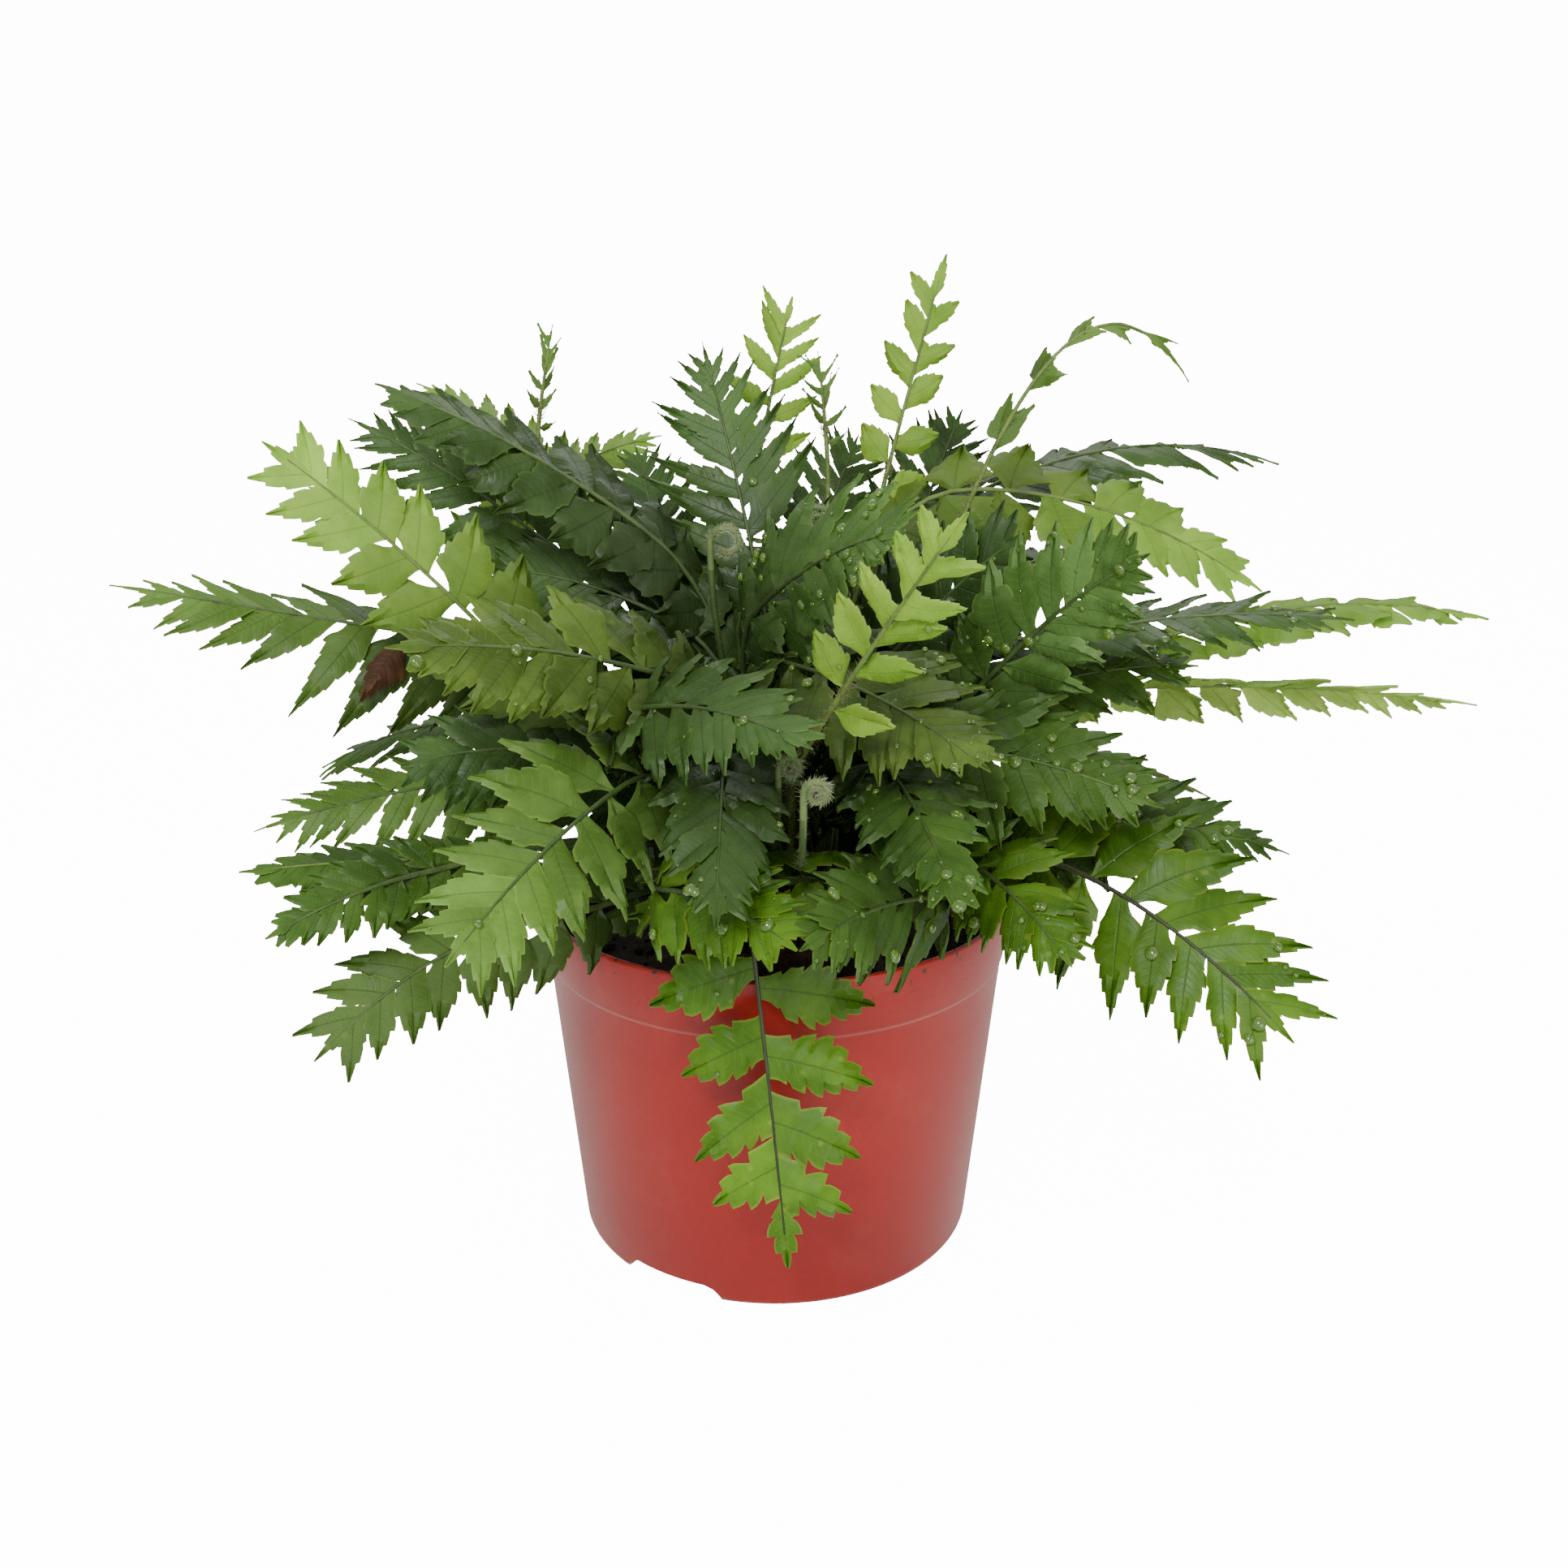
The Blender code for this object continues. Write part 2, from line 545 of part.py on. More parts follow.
def crozier_sheet(spec, slot):
    """A stalk that ends in a roll."""
    name, start, way, radius = spec
    top = crown_height(math.hypot(*slot))
    root = np.array((slot[0], slot[1], top - SLOT_DEPTH + ROOT_CLEAR))
    collar = np.array((slot[0], slot[1], top + COLLAR_RISE))
    start = np.array(start, float)
    reach = np.linalg.norm(start - collar)
    rise = np.array((0.0, 0.0, 1.0))
    curve = [collar, collar + rise * reach * STALK_RISE, start - rise * reach * STALK_RUN_IN, start]
    points = [root] + list(bezier(curve, np.linspace(0.0, 1.0, CROZIER_STALK_STEPS)))
    right = np.array((float(way), 0.0, 0.0))
    for step in range(1, CROZIER_STEPS + 1):
        share = step / CROZIER_STEPS
        angle = share * CROZIER_TURNS * 2 * math.pi
        now = radius * (1.0 - CROZIER_TIGHTENING * share)
        centre = start + right * radius * (1.0 - 0.05 * share)
        points.append(centre - right * now * math.cos(angle) + rise * now * math.sin(angle))
    points = np.array(points)
    ways = np.gradient(points, axis=0)
    ways /= np.linalg.norm(ways, axis=1)[:, None]
    across = np.array((0.0, 1.0, 0.0))
    sheet = Sheet()
    rails = []
    for index, point in enumerate(points):
        share = index / (len(points) - 1)
        half = (STALK_SIDE * (1 - share) + CROZIER_TIP_WIDTH * share) / 2
        normal = unit(np.cross(across, ways[index]))
        rails.append(sheet.add([point - across * half, point + across * half], [normal] * 2, half))
    for low, high in zip(rails, rails[1:]):
        sheet.face(low[0], low[1], high[1])
        sheet.face(low[0], high[1], high[0])
    return sheet


def thicken(sheet):
    """Both faces of the sheet and the walls round its outline, as points and triangles."""
    points = np.array(sheet.points)
    normals = np.array(sheet.normals)
    halves = np.array(sheet.halves)[:, None]
    count = len(points)
    solid = np.vstack([points + normals * halves, points - normals * halves])
    faces = []
    edges = {}
    for corners in sheet.faces:
        first, second, third = corners
        faces.append((first, second, third))
        faces.append((third + count, second + count, first + count))
        for start, end in ((first, second), (second, third), (third, first)):
            if (end, start) in edges:
                del edges[(end, start)]
            else:
                edges[(start, end)] = True
    for start, end in edges:
        faces.append((end, start, start + count))
        faces.append((end, start + count, end + count))
    return solid, faces


def solid_object(name, solid, faces, material):
    mesh = bpy.data.meshes.new(name)
    mesh.from_pydata([tuple(point * MM) for point in solid], [], faces)
    mesh.validate()
    shape = bmesh.new()
    shape.from_mesh(mesh)
    bmesh.ops.recalc_face_normals(shape, faces=shape.faces)
    shape.to_mesh(mesh)
    shape.free()
    return add_object(name, mesh, material)


def build_crown(slots):
    profile = (
        (0.0, CROWN_FOOT_Z),
        (CROWN_R - 5.0, CROWN_FOOT_Z),
        (CROWN_R, SOIL_TOP_Z + 1.0),
        (CROWN_R, crown_height(CROWN_R)),
        (CROWN_R * 0.6, crown_height(CROWN_R * 0.6)),
        (0.0, CROWN_TOP_Z),
    )
    crown = turned("crown", profile, CROWN_SIDES, finish("crown_scales", CROWN_BROWN, 0.85))
    half = STALK_SIDE / 2 + SLOT_GAP
    across = Vector((half, 0.0, 0.0))
    ahead = Vector((0.0, half, 0.0))
    outlines = []
    for slot in slots:
        foot = Vector((slot[0], slot[1], crown_height(math.hypot(*slot)) - SLOT_DEPTH))
        corners = [foot - across - ahead, foot + across - ahead, foot + across + ahead, foot - across + ahead]
        outlines.append((corners, (0, 0, SLOT_DEPTH + 3.0)))
    cut(crown, prisms("crown_cutters", outlines))
    return crown


def centre_footprint(made):
    """Move everything so that the box round the whole plant stands centred on the origin."""
    points = np.vstack([[vertex.co for vertex in item.data.vertices] for item in made])
    middle = (points.min(axis=0) + points.max(axis=0)) / 2
    for item in made:
        item.data.transform(Matrix.Translation((-middle[0], -middle[1], 0.0)))


def main():
    clear_scene()
    pot = build_pot()
    soil = build_soil()
    bases = [spec[1] for spec in FRONDS + CROZIERS]
    slots = stalk_places(bases)
    crown = build_crown(slots)
    made = [pot, soil, crown]
    leaf = finish("leaf_green", LEAF_GREEN, 0.45)
    young = finish("leaf_young", YOUNG_GREEN, 0.5)
    for spec, slot in zip(FRONDS + CROZIERS, slots):
        sheet = crozier_sheet(spec, slot) if spec in CROZIERS else frond_sheet(spec, slot)
        solid, faces = thicken(sheet)
        made.append(solid_object(spec[0], solid, faces, leaf if spec[-1] in GROWN else young))
    centre_footprint(made)


main()
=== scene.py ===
import math
import random

import bmesh
import bpy
import numpy as np
from mathutils import Matrix, Vector


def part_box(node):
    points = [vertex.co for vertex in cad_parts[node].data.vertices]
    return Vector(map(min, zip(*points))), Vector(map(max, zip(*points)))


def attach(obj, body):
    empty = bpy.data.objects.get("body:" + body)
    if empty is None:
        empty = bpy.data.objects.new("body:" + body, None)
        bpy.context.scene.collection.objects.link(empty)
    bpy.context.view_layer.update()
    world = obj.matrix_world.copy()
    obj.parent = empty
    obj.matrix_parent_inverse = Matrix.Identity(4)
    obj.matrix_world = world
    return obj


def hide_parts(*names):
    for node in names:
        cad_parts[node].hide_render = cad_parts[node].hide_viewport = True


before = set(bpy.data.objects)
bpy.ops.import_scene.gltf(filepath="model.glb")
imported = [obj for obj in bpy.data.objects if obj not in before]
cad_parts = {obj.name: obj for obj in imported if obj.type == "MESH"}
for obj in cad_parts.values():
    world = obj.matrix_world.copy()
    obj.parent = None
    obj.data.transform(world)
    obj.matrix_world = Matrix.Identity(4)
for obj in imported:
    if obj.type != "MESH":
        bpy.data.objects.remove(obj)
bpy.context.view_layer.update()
print("frame loaded")

# Lengths are millimetres from the pot's axis until a piece is finished. The viewer is on -Y.
mm = 0.001
potLow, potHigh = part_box("pot")
potAxis = Vector(((potLow.x + potHigh.x) / 2, (potLow.y + potHigh.y) / 2, 0.0))
toFrame = Matrix.Translation(potAxis) @ Matrix.Scale(mm, 4)


# Nodes and materials

def feed(socket, value):
    # a socket is linked, a colour gets its alpha, and a plain value is set
    if isinstance(value, bpy.types.NodeSocket):
        socket.id_data.links.new(value, socket)
    elif socket.type == "RGBA":
        socket.default_value = (*value, 1.0)
    else:
        socket.default_value = value


def feedAll(node, values):
    for name, value in values.items():
        feed(node.inputs[name], value)


def addNode(tree, kind, **settings):
    node = tree.nodes.new("ShaderNode" + kind)
    for name, value in settings.items():
        if name in node.inputs:
            feed(node.inputs[name], value)
        else:
            setattr(node, name, value)
    return node


def addMix(tree, factor, first, second):
    mix = addNode(tree, "Mix", data_type="RGBA")
    for socket, value in ((0, factor), (6, first), (7, second)):
        feed(mix.inputs[socket], value)
    return mix.outputs[2]


def addMath(tree, operation, *values):
    node = addNode(tree, "Math", operation=operation)
    for socket, value in zip(node.inputs, values):
        feed(socket, value)
    return node.outputs[0]


def addLayer(tree, body, colour, mask, share):
    # the colour laid over the body, as far as the mask times the share
    return addMix(tree, addMath(tree, "MULTIPLY", mask, share), body, colour)


def addRange(tree, value, low, high, start=0.0, end=1.0, smooth=True):
    # start where the value is low, end where it is high
    node = addNode(tree, "MapRange", interpolation_type="SMOOTHSTEP" if smooth else "LINEAR")
    feedAll(node, {"Value": value, "From Min": low, "From Max": high, "To Min": start, "To Max": end})
    return node.outputs["Result"]


def addPlace(tree):
    return addNode(tree, "TexCoord").outputs["Object"]


def addNoise(tree, place, scale, detail, **more):
    noise = addNode(tree, "TexNoise", Vector=place, Scale=scale, Detail=detail, **more)
    return noise.outputs["Fac"]


def addDistance(tree, centre, stretch):
    # distance from the centre, in a space stretched along its axes
    place = addPlace(tree)
    shift = addNode(tree, "Mapping", vector_type="TEXTURE", Vector=place, Location=centre, Scale=stretch)
    far = addNode(tree, "VectorMath", operation="LENGTH", Vector=shift.outputs["Vector"])
    return far.outputs["Value"]


def addBump(tree, height, relief, **more):
    strength, distance = relief
    bump = addNode(tree, "Bump", Height=height, Strength=strength, Distance=distance, **more)
    return bump.outputs["Normal"]


def newGroup(name, inputs, outputs):
    tree = bpy.data.node_groups.new(name, "ShaderNodeTree")
    for label, value in inputs.items():
        socket = tree.interface.new_socket(label, in_out="INPUT", socket_type="NodeSocketFloat")
        socket.default_value = value
    for label in outputs:
        tree.interface.new_socket(label, in_out="OUTPUT", socket_type="NodeSocketFloat")
    return tree, tree.nodes.new("NodeGroupInput").outputs, tree.nodes.new("NodeGroupOutput")


def newMaterial(name):
    material = bpy.data.materials.new(name)
    material.use_nodes = True
    return material, material.node_tree, material.node_tree.nodes["Principled BSDF"]


veining = dict(
    count=14.0, midrib=0.035, forward=0.16, sharpness=5.0, fade=1.3, margin=(0.42, 0.5), sideDepth=0.5)


def veinGroup():
    # masks that follow a leaflet: midrib, side veins, and the pale margin
    tree, given, result = newGroup(
        "leafVeins", {"Veins": veining["count"], "Midrib Width": veining["midrib"]},
        ("Midrib", "Side Veins", "Margin", "Height"))
    uv = addNode(tree, "UVMap", uv_map="leafUV").outputs["UV"]
    split = addNode(tree, "SeparateXYZ", Vector=uv).outputs
    off = addMath(tree, "ABSOLUTE", addMath(tree, "SUBTRACT", split["Y"], 0.5))
    midrib = addRange(tree, off, 0.0, given["Midrib Width"], 1.0, 0.0)
    bend = addMath(tree, "MULTIPLY", off, veining["forward"])
    along = addMath(tree, "MULTIPLY", addMath(tree, "SUBTRACT", split["X"], bend), given["Veins"])
    wave = addMath(tree, "SINE", addMath(tree, "MULTIPLY", along, 2 * math.pi))
    sharp = addMath(tree, "POWER", addMath(tree, "MAXIMUM", wave, 0.0), veining["sharpness"])
    fade = addMath(tree, "SUBTRACT", 1.0, addMath(tree, "MULTIPLY", off, veining["fade"]))
    side = addMath(tree, "MULTIPLY", sharp, fade)
    deep = addMath(tree, "MULTIPLY", midrib, -1.0)
    feedAll(result, {
        "Midrib": midrib, "Side Veins": side, "Margin": addRange(tree, off, *veining["margin"]),
        "Height": addMath(tree, "SUBTRACT", deep, addMath(tree, "MULTIPLY", side, veining["sideDepth"]))})
    return tree


mottling = dict(
    patches=60.0, spread=(0.34, 0.68), grain=2400.0, spots=260.0, lesions=0.3, lesion=(0.12, 0.26))


def mottleGroup():
    # uneven green over a plant, fine cell grain, and a few pale lesions
    tree, given, result = newGroup(
        "leafMottle", {"Patch Size": mottling["patches"], "Lesions": mottling["lesions"]},
        ("Patches", "Grain", "Lesion"))
    place = addPlace(tree)
    patches = addNoise(tree, place, given["Patch Size"], 4.0, Roughness=0.6)
    spots = addNode(tree, "TexVoronoi", Vector=place, Scale=mottling["spots"]).outputs
    near = addRange(tree, spots["Distance"], *mottling["lesion"], 1.0, 0.0)
    few = addNode(tree, "SeparateColor", Color=spots["Color"]).outputs["Red"]
    feedAll(result, {
        "Patches": addRange(tree, patches, *mottling["spread"]),
        "Grain": addNoise(tree, place, mottling["grain"], 3.0),
        "Lesion": addMath(tree, "MULTIPLY", near, addMath(tree, "LESS_THAN", few, given["Lesions"]))})
    return tree


# painted shade deep in the plant: its centre height, the stretch of its space, where it is darkest and where
# it ends, and the dark colour painted there
paintedInnerShade = dict(height=128.0, shape=(1.0, 1.6, 1.0), near=34.0, far=84.0, colour=(0.022, 0.05, 0.009))


def paintedInnerShadeGroup():
    # painted shade: leaves and stalks deep in the plant are painted darker than those at its edge, as if
    # shaded by the fronds around them
    tree, given, result = newGroup("paintedInnerShadeTree", {"Darkest": 0.45}, ["Shade"])
    centre = (potAxis.x, potAxis.y, paintedInnerShade["height"] * mm)
    far = addDistance(tree, centre, paintedInnerShade["shape"])
    near, edge = paintedInnerShade["near"] * mm, paintedInnerShade["far"] * mm
    feedAll(result, {"Shade": addRange(tree, far, near, edge, given["Darkest"])})
    return tree


paintedInnerShadeTree = paintedInnerShadeGroup()
leafVeins = veinGroup()
leafMottle = mottleGroup()


# painted shade: the colour darkened towards the middle of the plant
def addShade(tree, body, inner):
    shade = addNode(tree, "Group", node_tree=paintedInnerShadeTree, Darkest=inner).outputs["Shade"]
    return addMix(tree, shade, paintedInnerShade["colour"], body)


# how strongly each mask shows, and each relief as its strength and depth; the bluish colour is a painted
# sheen
leafLook = dict(
    sideVein=0.35, margin=0.55, midrib=0.6, lesion=0.5, paintedSheen=(0.1, 0.19, 0.075), specular=0.35, smoother=0.08,
    rougher=0.14, veinRelief=(0.35, 0.00025), grainRelief=(0.25, 0.00008), glowShare=0.55)


# inner is the share of the leaf's own colour kept where the painted shade deep in the plant is darkest; 1
# paints no shade
def leafMaterial(
        name, dark, light, margin, rib, glow, rough, sheen=0.0, lesions=0.12, through=0.3, inner=0.35):
    material, tree, shader = newMaterial(name)
    vein = addNode(tree, "Group", node_tree=leafVeins).outputs
    mottle = addNode(tree, "Group", node_tree=leafMottle, Lesions=lesions).outputs
    body = addMix(tree, mottle["Patches"], dark, light)
    body = addLayer(tree, body, light, vein["Side Veins"], leafLook["sideVein"])
    if sheen:
        # painted sheen: a bluish reflection painted between the midrib and the margin
        paintedSheen = addMath(tree, "SUBTRACT", 1.0, vein["Margin"])
        paintedSheen = addMath(tree, "MULTIPLY", paintedSheen, mottle["Patches"])
        body = addLayer(tree, body, leafLook["paintedSheen"], paintedSheen, sheen)
    body = addLayer(tree, body, margin, vein["Margin"], leafLook["margin"])
    body = addLayer(tree, body, rib, vein["Midrib"], leafLook["midrib"])
    body = addLayer(tree, body, margin, mottle["Lesion"], leafLook["lesion"])
    # a per-point brightness: the frond's own tone, with painted shade at frond bases deep in the plant
    toneAndShade = addNode(tree, "Attribute", attribute_name="toneAndShade").outputs["Fac"]
    shaded = addShade(tree, body, inner)
    body = addNode(tree, "VectorMath", operation="SCALE", Vector=shaded, Scale=toneAndShade).outputs["Vector"]
    smooth, dull = rough - leafLook["smoother"], rough + leafLook["rougher"]
    gloss = addRange(tree, mottle["Patches"], 0.0, 1.0, smooth, dull, smooth=False)
    veins = addBump(tree, vein["Height"], leafLook["veinRelief"])
    feedAll(shader, {
        "Base Color": body, "Roughness": gloss, "Specular IOR Level": leafLook["specular"],
        "Normal": addBump(tree, mottle["Grain"], leafLook["grainRelief"], Normal=veins)})
    behind = addNode(tree, "BsdfTranslucent", Color=addMix(tree, leafLook["glowShare"], body, glow))
    both = addNode(tree, "MixShader", Fac=through)
    feed(both.inputs[1], shader.outputs[0])
    feed(both.inputs[2], behind.outputs[0])
    feed(tree.nodes["Material Output"].inputs["Surface"], both.outputs[0])
    return material


# a finish's inner value sets how far the painted shade deep in the plant darkens it
leafFinishes = {
    "deep": dict(
        dark=(0.034, 0.082, 0.013), light=(0.09, 0.19, 0.03), margin=(0.17, 0.32, 0.05),
        rib=(0.03, 0.065, 0.015), glow=(0.12, 0.32, 0.015), rough=0.4, sheen=0.25),
    "blue": dict(
        dark=(0.06, 0.13, 0.02), light=(0.13, 0.25, 0.05), margin=(0.19, 0.34, 0.06),
        rib=(0.05, 0.1, 0.03), glow=(0.16, 0.36, 0.03), rough=0.4, sheen=0.3),
    "mid": dict(
        dark=(0.058, 0.14, 0.013), light=(0.13, 0.27, 0.03), margin=(0.24, 0.42, 0.06),
        rib=(0.04, 0.09, 0.015), glow=(0.18, 0.44, 0.02), rough=0.42, sheen=0.12),
    "soft": dict(
        dark=(0.12, 0.24, 0.03), light=(0.22, 0.4, 0.065), margin=(0.32, 0.5, 0.1),
        rib=(0.08, 0.15, 0.03), glow=(0.28, 0.55, 0.04), rough=0.46, sheen=0.1),
    "olive": dict(
        dark=(0.09, 0.165, 0.02), light=(0.2, 0.33, 0.045), margin=(0.3, 0.45, 0.08),
        rib=(0.08, 0.13, 0.02), glow=(0.24, 0.42, 0.04), rough=0.46),
    "fresh": dict(
        dark=(0.1, 0.25, 0.012), light=(0.2, 0.42, 0.022), margin=(0.4, 0.56, 0.06),
        rib=(0.06, 0.14, 0.015), glow=(0.28, 0.62, 0.012), rough=0.42, lesions=0.3, inner=0.6),
    "light": dict(
        dark=(0.24, 0.46, 0.05), light=(0.4, 0.66, 0.09), margin=(0.46, 0.68, 0.14),
        rib=(0.2, 0.38, 0.04), glow=(0.46, 0.8, 0.04), rough=0.5, lesions=0.0, inner=0.1),
    "young": dict(
        dark=(0.26, 0.5, 0.04), light=(0.44, 0.7, 0.08), margin=(0.5, 0.72, 0.15),
        rib=(0.25, 0.44, 0.05), glow=(0.5, 0.84, 0.05), rough=0.52, lesions=0.0, inner=1.0),
    "under": dict(
        dark=(0.17, 0.29, 0.055), light=(0.28, 0.43, 0.1), margin=(0.32, 0.46, 0.12),
        rib=(0.05, 0.08, 0.02), glow=(0.22, 0.44, 0.04), rough=0.6, lesions=0.0, through=0.3),
    "underLight": dict(
        dark=(0.32, 0.52, 0.07), light=(0.5, 0.7, 0.15), margin=(0.54, 0.7, 0.2),
        rib=(0.2, 0.34, 0.05), glow=(0.5, 0.78, 0.08), rough=0.6, lesions=0.0, through=0.35),
}
leafMaterials = {}
for finishName, finish in leafFinishes.items():
    leafMaterials[finishName] = leafMaterial("leaf_" + finishName, **finish)


stalkLook = dict(
    patches=140.0, streaks=1500.0, stretch=(1.0, 1.0, 0.12), mixed=0.6, relief=(0.4, 0.0001))


def stalkMaterial(name, low, high, rough, inner=0.3):
    # green or brown stalk, darker in patches, with fine lengthwise grain; painted shade darkens it deep in
    # the plant, down to inner of its own colour
    material, tree, shader = newMaterial(name)
    patches = {"Patch Size": stalkLook["patches"], "Lesions": 0.0}
    mottle = addNode(tree, "Group", node_tree=leafMottle, **patches).outputs
    stretch = addNode(tree, "Mapping", Vector=addPlace(tree), Scale=stalkLook["stretch"])
    streaks = addNoise(tree, stretch.outputs["Vector"], stalkLook["streaks"], 3.0)
    both = addMath(tree, "ADD", mottle["Patches"], streaks)
    body = addMix(tree, addMath(tree, "MULTIPLY", both, stalkLook["mixed"]), low, high)
    feedAll(shader, {
        "Base Color": addShade(tree, body, inner), "Roughness": rough,
        "Normal": addBump(tree, streaks, stalkLook["relief"])})
    return material


# the number after the roughness is the share of colour kept under the painted shade deep in the plant, 0.3
# where none is given
stalkMaterials = {
    "green": stalkMaterial("stalk_green", (0.03, 0.055, 0.012), (0.1, 0.17, 0.035), 0.5),
    "dark": stalkMaterial("stalk_dark", (0.012, 0.012, 0.006), (0.05, 0.06, 0.02), 0.4),
    "pale": stalkMaterial("stalk_pale", (0.08, 0.13, 0.025), (0.2, 0.31, 0.06), 0.55, 0.8),
    "roll": stalkMaterial("stalk_roll", (0.08, 0.14, 0.035), (0.2, 0.29, 0.09), 0.6, 0.5),
}
scaleHairs = stalkMaterial("stalk_scales", (0.12, 0.085, 0.04), (0.34, 0.28, 0.16), 0.7, 0.4)
rollHairs = stalkMaterial("roll_hairs", (0.2, 0.24, 0.11), (0.44, 0.46, 0.28), 0.7, 0.75)
print("leaf and stalk materials ready")


# Pieces

def showObject(name, data):
    made = bpy.data.objects.new(name, data)
    bpy.context.scene.collection.objects.link(made)
    return made


def newObject(name, shape):
    mesh = bpy.data.meshes.new(name)
    shape.to_mesh(mesh)
    shape.free()
    return showObject(name, mesh)


def finishPiece(name, shape, materials, nodes, sharp=55):
    piece = newObject(name, shape)
    piece.data.transform(toFrame)
    for material in materials:
        piece.data.materials.append(material)
    piece.data.shade_smooth()
    piece.data.set_sharp_from_angle(angle=math.radians(sharp))
    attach(piece, "root")
    if nodes:
        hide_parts(*nodes)


def evaluatedShape(*parts):
    # the first part with its modifiers applied, as a new shape; all parts are then removed
    graph = bpy.context.evaluated_depsgraph_get()
    made = bpy.data.meshes.new_from_object(parts[0].evaluated_get(graph))
    for part in parts:
        mesh = part.data
        bpy.data.objects.remove(part)
        bpy.data.meshes.remove(mesh)
    shape = bmesh.new()
    shape.from_mesh(made)
    bpy.data.meshes.remove(made)
    return shape


def unit(vectors):
    return vectors / np.linalg.norm(vectors, axis=-1, keepdims=True)


def bezier(points, shares):
    shares = np.asarray(shares, float)[:, None]
    degree = len(points) - 1
    total = 0.0
    for index, point in enumerate(points):
        total = total + math.comb(degree, index) * shares**index * (1 - shares) ** (degree - index) * point
    return total


def bezierSlope(points, shares):
    return bezier([(after - before) * (len(points) - 1) for before, after in zip(points, points[1:])], shares)


def ringPoint(turn, radius, z):
    return Vector((math.cos(turn) * radius, math.sin(turn) * radius, z))


def aimed(spot, way, size):
    # stands a unit shape at a spot, stretched by its size, with its Z along a way
    turned = way.to_track_quat("Z", "Y").to_matrix().to_4x4()
    return Matrix.Translation(spot) @ turned @ Matrix.Diagonal((*size, 1.0))


def addTube(shape, centres, sides, normals, radii, around, materialIndex):
    # a closed round stalk through the given centres; sides and normals span each ring
    ring = bmesh.ops.create_circle(shape, cap_ends=True, radius=1.0, segments=around)["verts"]
    faces = list(ring[0].link_faces)
    edges = list(faces[0].edges)
    angles = [2 * math.pi * step / around for step in range(around)]
    for level, centre in enumerate(centres):
        if level:
            grown = bmesh.ops.extrude_edge_only(shape, edges=edges)["geom"]
            ring = [item for item in grown if isinstance(item, bmesh.types.BMVert)]
            newEdges = [item for item in grown if isinstance(item, bmesh.types.BMEdge)]
            edges = [edge for edge in newEdges if edge.verts[0] in ring and edge.verts[1] in ring]
            faces += [item for item in grown if isinstance(item, bmesh.types.BMFace)]
        for vert, angle in zip(ring, angles):
            out = math.cos(angle) * sides[level] + math.sin(angle) * normals[level]
            vert.co = centre + radii[level] * out
    faces += bmesh.ops.contextual_create(shape, geom=edges)["faces"]
    bmesh.ops.recalc_face_normals(shape, faces=faces)
    for face in faces:
        face.material_index = materialIndex
    return faces


# Crown and stalk places, where the stalks stand in the crown

crown = dict(
    radius=26.0, topZ=87.0, dome=4.0, slotDepth=5.0, ringRadius=23.0, pitch=5.4, splay=0.85, nudge=0.1,
    rounds=200, push=0.4, cover=0.4, segments=64)


def crownHeight(radius):
    return crown["topZ"] - crown["dome"] * (radius / crown["radius"]) ** 2


def stalkPlaces(bases):
    # each stalk starts below its blade, and those that stand too close push each other apart
    places = []
    for index, (x, y, z) in enumerate(bases):
        flat = math.hypot(x, y)
        radius = crown["ringRadius"] * min(1.0, crown["splay"] * math.sqrt(flat / (z - crown["topZ"])))
        nudge = crown["nudge"] * np.array((math.cos(index), math.sin(index)))
        places.append(np.array((x, y)) / flat * radius + nudge)
    places = np.array(places)
    for step in range(crown["rounds"]):
        apart = places[:, None] - places[None]
        distance = np.linalg.norm(apart, axis=2)
        np.fill_diagonal(distance, crown["pitch"])
        push = np.maximum(0.0, crown["pitch"] - distance) / distance
        places = places + crown["push"] * (apart * push[..., None]).sum(axis=1)
        radius = np.linalg.norm(places, axis=1)
        places = places * np.minimum(1.0, crown["ringRadius"] / radius)[:, None]
    return list(places)


# Fronds: how each kind divides, and the row of each frond

